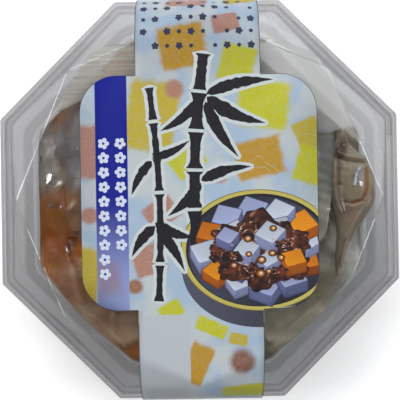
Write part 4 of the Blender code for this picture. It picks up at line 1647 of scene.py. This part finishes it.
def make_sachet(name, form, film, filling, pleats=0.0):
    """The film as one piece, and what fills it as another just inside."""
    size, place, turn = form
    pieces = []
    for part, look, shrink, inner in (("film", film, 0.0, False), ("filling", filling, 0.25 * MM, True)):
        mesh = sachet_mesh(size, turn, shrink, inner, pleats)
        mesh.transform(Matrix.Translation(place) @ Matrix.Rotation(turn, 4, "Z"))
        pieces.append(add_object(f"{name}_{part}", mesh, [look], sharp=60))
    return pieces


# The bean sachet's gathered +X end, in rows along Y: its two edges in X, its underside and its
# thickness. Then its folds and grooves, and the colours in it, each along a line with a width; one of those
# colours is a painted bluish reflection.
END_ROWS = (
    (24.0, 42.8, 43.6, 42.4, 0.4),
    (20.4, 42.4, 45.1, 42.0, 1.2),
    (16.7, 41.8, 46.6, 41.6, 2.0),
    (14.0, 41.2, 49.2, 41.4, 2.6),
    (12.1, 40.9, 51.9, 41.2, 2.8),
    (9.0, 40.7, 53.4, 41.0, 3.8),
    (4.3, 40.6, 54.6, 41.0, 4.2),
    (-0.5, 40.9, 54.8, 41.0, 3.6),
    (-2.5, 41.2, 54.2, 41.0, 3.2),
    (-7.2, 42.4, 51.2, 41.0, 2.4),
    (-11.2, 43.0, 48.4, 40.8, 1.9),
    (-14.3, 42.7, 46.6, 40.6, 1.6),
    (-19.6, 42.4, 44.8, 40.4, 1.2),
    (-25.1, 42.7, 43.4, 40.2, 0.4),
)
END_FOLDS = (
    (((42.9, 15.2), (41.7, 10.5), (41.6, 2.8), (42.4, -1.9), (43.8, -5.0)), 0.55, 0.8),
    (((42.6, 15.2), (45.7, 18.0)), 0.45, 0.7),
    (((43.2, 13.4), (45.4, 12.5), (51.0, 11.8)), 0.5, 0.6),
    (((42.9, 12.1), (45.1, 11.1), (51.6, 10.3)), 0.3, -0.9),
    (((46.6, 14.6), (51.2, 12.2)), 0.3, -0.5),
    (((49.8, 9.4), (48.6, 7.4), (47.6, 3.4)), 0.3, 0.5),
    (((51.8, 9.6), (51.8, 2.8), (50.4, -1.4), (47.2, -2.1), (44.5, -1.8)), 0.5, -0.6),
    (((43.5, 2.8), (43.8, -1.9), (44.5, -4.6)), 0.3, 0.6),
    (((54.4, -0.6), (50.8, -5.6), (46.8, -12.4), (44.6, -20.0)), 0.35, -0.6),
    (((52.9, -1.2), (49.4, -5.4), (45.4, -12.6), (43.6, -21.0)), 0.45, 0.5),
    (((53.0, 8.0), (53.8, 2.0)), 0.5, 0.5),
)
END_TONES = (
    (((41.8, 12.0), (41.7, -1.0)), 0.7, (182, 170, 146)),
    (((43.2, 12.0), (43.2, 4.0)), 0.6, (118, 96, 78)),
    (((43.6, 13.4), (45.0, 17.0)), 1.6, (96, 72, 58)),
    (((46.5, 12.6), (50.0, 11.4)), 0.9, (170, 158, 134)),
    (((46.6, 6.8), (47.6, 1.6)), 2.9, (176, 164, 138)),
    # Painted reflection: a bluish grey patch where the film mirrors its surroundings.
    (((49.2, 7.6), (48.2, 5.4)), 1.3, (146, 148, 164)),
    (((51.7, 9.0), (51.6, 2.6), (50.2, -1.0), (47.4, -1.8)), 0.6, (172, 112, 66)),
    (((45.4, -2.8), (46.4, -4.4)), 1.5, (164, 134, 122)),
    (((53.2, 2.4), (53.6, 0.2)), 0.9, (172, 146, 126)),
    (((50.2, -3.4), (47.6, -8.4), (45.0, -14.0), (43.6, -21.0)), 1.0, (166, 144, 122)),
)
END_BASE_TONE = (176, 163, 143)
END_GLINTS = (
    (((49.8, 9.4), (48.6, 7.4), (47.6, 3.4)), 0.3),
    (((50.8, 9.7), (51.2, 9.3)), 0.4),
    (((49.6, 4.1), (49.8, 3.7)), 0.4),
    (((43.6, -0.6), (44.0, -2.6), (44.5, -4.6)), 0.45),
)


def end_row(y):
    """The row at a place along Y, between those of the table."""
    for upper, lower in zip(END_ROWS, END_ROWS[1:]):
        if y >= lower[0]:
            break
    share = (upper[0] - y) / (upper[0] - lower[0])
    return [a + (b - a) * share for a, b in zip(upper, lower)][1:]


def end_glints(x, y):
    """How far the film is drawn tight and glints at places: 0 to 1."""
    shine = np.zeros(len(x))
    for line, width in END_GLINTS:
        shine = np.maximum(shine, 1 / (1 + np.exp(6 * (off_line(x, y, line) / width - 1))))
    return shine


def end_tones(x, y):
    """The colours inside the gathered end at places, one of them a painted reflection, as 0 to 255 values."""
    tones = np.tile(np.array(END_BASE_TONE, float), (len(x), 1))
    for line, width, tone in END_TONES:
        share = 1 / (1 + np.exp(5 * (off_line(x, y, line) / width - 1)))
        tones += (np.array(tone) - tones) * share[:, None]
    return tones


def make_gathered_end(film, filling):
    """The end of the bean sachet, gathered and folded along the wall, as film and what it holds."""
    above, below, row_step = 52, 12, 0.35
    shares = [i / above for i in range(above + 1)] + [1 - i / below for i in range(1, below)]
    pieces = []
    for part, look, grown in (("film", film, 0.28), ("filling", filling, 0.0)):
        rings = []
        y = END_ROWS[0][0]
        while y > END_ROWS[-1][0]:
            left, right, base, thick = end_row(y)
            x = np.array([left - grown + (right - left + 2 * grown) * s for s in shares])
            lift = fold_lift(x, np.full(len(x), y), END_FOLDS)
            points = []
            for n, share in enumerate(shares):
                arch = (4 * share * (1 - share)) ** 0.45
                dent = creases(Vector((x[n], y, 7.0)), 3.4, 0.9)
                if n <= above:
                    z = base + arch * (thick + grown + (1 + grown) * float(lift[n]) - 0.5 * dent)
                else:
                    z = base - arch * (0.5 * thick + grown)
                points.append(Vector((x[n], y, z)) * MM)
            rings.append(points)
            y -= row_step
        mesh = loft(rings, close_first=True, close_last=True)
        piece = add_object(f"bean_paste_end_{part}", mesh, [look], sharp=75)
        paint = piece.data.attributes.new("tone", "FLOAT_COLOR", "POINT")
        places = np.array([v.co[:2] for v in piece.data.vertices]) / MM
        tones, shines = end_tones(*places.T), end_glints(*places.T)
        for mark, tone, shine in zip(paint.data, tones, shines):
            mark.color = (*linear(*tone), float(shine))
        pieces.append(piece)
    return pieces


def end_filling_look():
    """Bean paste thin in its film: beige where it is thick, orange brown at its rim."""
    look = Look("bean_paste_end")
    tone = look.node("VertexColor", layer_name="tone").outputs[0]
    lumps = look.grain(look.places(), 420.0, detail=4.0)
    tone = look.mix(look.math("MULTIPLY", look.fade(lumps, 0.4, 0.75), 0.35), tone, linear(110, 84, 66))
    normal = look.bump(lumps, 0.3, 0.5 * MM)
    return look.show(principled(look, tone, 0.35, Normal=normal, Coat_Weight=0.3))


def make_floor():
    mesh = bmesh.new()
    bmesh.ops.create_grid(mesh, x_segments=1, y_segments=1, size=3.0)
    look = Look("pale_floor")
    soft = look.grain(look.places(), 8.0, detail=2.0)
    colour = look.mix(soft, (0.93, 0.93, 0.93), (0.95, 0.95, 0.95))
    paint = principled(look, colour, 0.9)
    floor = add_object("floor", mesh, [look.show(paint)])
    floor.location.z = -0.05 * MM


def add_light(name, azimuth, elevation, size, radiance, distance=1.0, roll=0.0):
    """A soft rectangle that faces the tub. Azimuth runs round from +X. All angles are in degrees."""
    round_, up = math.radians(azimuth), math.radians(elevation)
    towards = Vector((math.cos(up) * math.cos(round_), math.cos(up) * math.sin(round_), math.sin(up)))
    data = bpy.data.lights.new(name, "AREA")
    data.shape = "RECTANGLE"
    data.size, data.size_y = size
    data.energy = radiance * math.pi * size[0] * size[1]
    lamp = link(name, data)
    lamp.location = towards * distance + Vector((0.0, 0.0, PLATEAU_Z))
    facing = towards.to_track_quat("Z", "Y").to_matrix()
    lamp.rotation_euler = (facing @ Matrix.Rotation(math.radians(roll), 3, "Z")).to_euler()


def light_world(tree):
    """Dim overhead, so that the flat plastic stays clear, bright lower down, and dim towards -Y.

    Below the horizon it is as pale as the floor, which seems to go on.
    """

    def ramp(value, settings):
        made = tree.nodes.new("ShaderNodeMapRange")
        made.interpolation_type = "SMOOTHSTEP"
        tree.links.new(value, made.inputs["Value"])
        for name, amount in settings.items():
            made.inputs[name].default_value = amount
        return made.outputs[0]

    direction = tree.nodes.new("ShaderNodeTexCoord")
    parts = tree.nodes.new("ShaderNodeSeparateXYZ")
    tree.links.new(direction.outputs["Generated"], parts.inputs[0])
    by_height = ramp(parts.outputs["Z"], {"From Min": 0.97, "From Max": 0.55, "To Min": 0.04, "To Max": 1.1})
    by_side = ramp(parts.outputs["Y"], {"From Min": -0.45, "From Max": 0.4, "To Min": 0.05, "To Max": 1.12})
    by_end = ramp(parts.outputs["X"], {"From Min": -0.7, "From Max": 0.7, "To Min": 0.92, "To Max": 1.35})
    below = ramp(parts.outputs["Z"], {"From Min": 0.012, "From Max": 0.0, "To Min": 0.0, "To Max": 0.62})
    strength = by_height
    for operation, factor in (("MULTIPLY", by_side), ("MULTIPLY", by_end), ("MAXIMUM", below)):
        joined = tree.nodes.new("ShaderNodeMath")
        joined.operation = operation
        tree.links.new(strength, joined.inputs[0])
        tree.links.new(factor, joined.inputs[1])
        strength = joined.outputs[0]
    background = tree.nodes["Background"]
    tree.links.new(strength, background.inputs["Strength"])
    background.inputs["Color"].default_value = (0.95, 0.97, 1.0, 1.0)


def set_stage():
    """A pale floor, a white surrounding, soft lamps and the camera over the lid."""
    scene = bpy.context.scene
    world = bpy.data.worlds.new("studio")
    world.use_nodes = True
    scene.world = world
    light_world(world.node_tree)
    add_light("veil", 50, 74.6, (0.34, 0.065), 3.1, 1.054)
    add_light("halo_right", -4, 70.8, (0.26, 0.09), 1.3, 1.059)
    add_light("wedge", 65, 3.0, (0.075, 0.012), 5.0)
    add_light("glow_behind", 67, 2.1, (0.36, 0.05), 1.2)
    add_light("glow_beside", 24, 2.3, (0.5, 0.06), 0.8)
    add_light("gleam_left", 203, 32, (0.14, 0.11), 32.0)
    add_light("gleam_right", -21, 34, (0.1, 0.11), 40.0)
    broad = (
        (90, 47, (0.5, 0.5), 4.6),
        (112.5, 44, (0.34, 0.5), 5.6),
        (157.5, 42, (0.4, 0.6), 4.6),
        (174, 42, (0.3, 0.4), 5.0),
        (22.5, 46, (0.26, 0.3), 8.4),
        (6, 42, (0.3, 0.3), 7.6),
    )
    for azimuth, elevation, size, radiance in broad:
        add_light(f"lamp_{azimuth}", azimuth, elevation, size, radiance)
    make_floor()
    data = bpy.data.cameras.new("camera")
    data.lens = CAMERA_LENS
    data.clip_start = 0.005
    camera = link("camera", data)
    camera.location = CAMERA_PLACE
    camera.rotation_euler = (0.0, 0.0, CAMERA_TURN)
    scene.camera = camera
    scene.view_settings.view_transform = "Standard"
    scene.cycles.transparent_max_bounces = 32
    scene.cycles.max_bounces = 16


def main():
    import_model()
    set_stage()
    grey = (0.55, 0.56, 0.57)
    plastic = clear_plastic("clear_plastic", (0.8, 0.803, 0.805), grey, 0.006, 0.03, 22.0, 0.05)
    # The creases' slightly darker tint, and the darker tints of the hem and flange, are painted shade; the
    # creases' haze is their own milkiness.
    crease_tint = (0.76, 0.76, 0.765)
    crease = clear_plastic("plastic_crease", crease_tint, grey, 0.03, 0.07, 40.0, 0.1, 0.055, broken=True)
    flange = clear_plastic("plastic_flange_painted_shade", (0.75, 0.752, 0.755), grey, 0.006, 0.03, 22.0, 0.05)
    hem = clear_plastic("plastic_hem_painted_shade", (0.645, 0.645, 0.65), grey, 0.03, 0.2, 40.0, 0.1, facing=0.012)
    tray_tint = (0.77, 0.77, 0.775)
    tray_plastic = clear_plastic("tray_plastic", tray_tint, grey, 0.01, 0.05, 30.0, 0.06, facing=0.006)
    # Painted shade: the tray's creases take a darker tint than its walls.
    tray_crease_painted_shade = clear_plastic("tray_crease_painted_shade", (0.72, 0.72, 0.725), grey, 0.02, 0.12, 30.0, 0.1, facing=0.012)
    film = film_look("pouch_film", (0.95, 0.93, 0.89), (0.62, 0.57, 0.48), 0.02)
    sachet_film = film_look("sachet_film", (0.95, 0.94, 0.92), (0.56, 0.54, 0.5), 0.03, steep=0.6)
    end_film = film_look("end_film", (0.95, 0.93, 0.9), (0.6, 0.57, 0.5), 0.04, steep=0.45, placed=False)
    ink = ink_look()
    band_looks = [printed_paper(), paper_back(), painted_shade_paper_edge()]
    amber = (linear(170, 98, 34), linear(196, 136, 74))
    syrup_fill = thick_sauce_look("syrup", linear(112, 106, 108), linear(140, 134, 134), 60.0, amber)
    bean_fill = thick_sauce_look("bean_paste", linear(88, 62, 56), linear(140, 112, 96), 170.0)
    white_jelly = jelly_look("agar_jelly", linear(200, 194, 172), linear(178, 120, 62), 0.45)
    orange_jelly = jelly_look("orange_jelly", linear(228, 126, 18), linear(220, 112, 8), 0.15)

    lid = make_lid([plastic, crease, hem, flange])
    tray = make_tray([tray_plastic, tray_crease_painted_shade])
    band = make_band(band_looks)
    # The last of these prints is painted shadow along the paper's cut edges.
    prints = [make_ink_motif(ink), make_ornaments(ink), make_bowl_picture(ink), make_painted_edge_shadow(ink)]
    cubes = make_cubes(drop_cubes(random.Random(SEED)), white_jelly, orange_jelly)
    skin = height_grid(cubes)
    pouch = [*cubes, make_liquid(skin, liquid_look()), make_film(skin, film), make_flap(flap_look())]
    syrup = make_sachet("syrup", SYRUP, sachet_film, syrup_fill)
    bean_paste = make_sachet("bean_paste", BEAN, sachet_film, bean_fill, pleats=0.5 * MM)
    bean_paste += make_gathered_end(end_film, end_filling_look())

    pieces = {
        "lid": ([lid], "lid_plastic"),
        "tray": ([tray], "tray_plastic"),
        "paper_band": ([band, *prints], "printed_paper"),
        "agar_pouch": (pouch, "pouch"),
        "syrup_sachet": (syrup, "syrup"),
        "bean_paste_sachet": (bean_paste, "bean_paste"),
    }
    for node, (made, slot) in pieces.items():
        for piece in made:
            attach(piece, "root")
            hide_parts(node)


main()
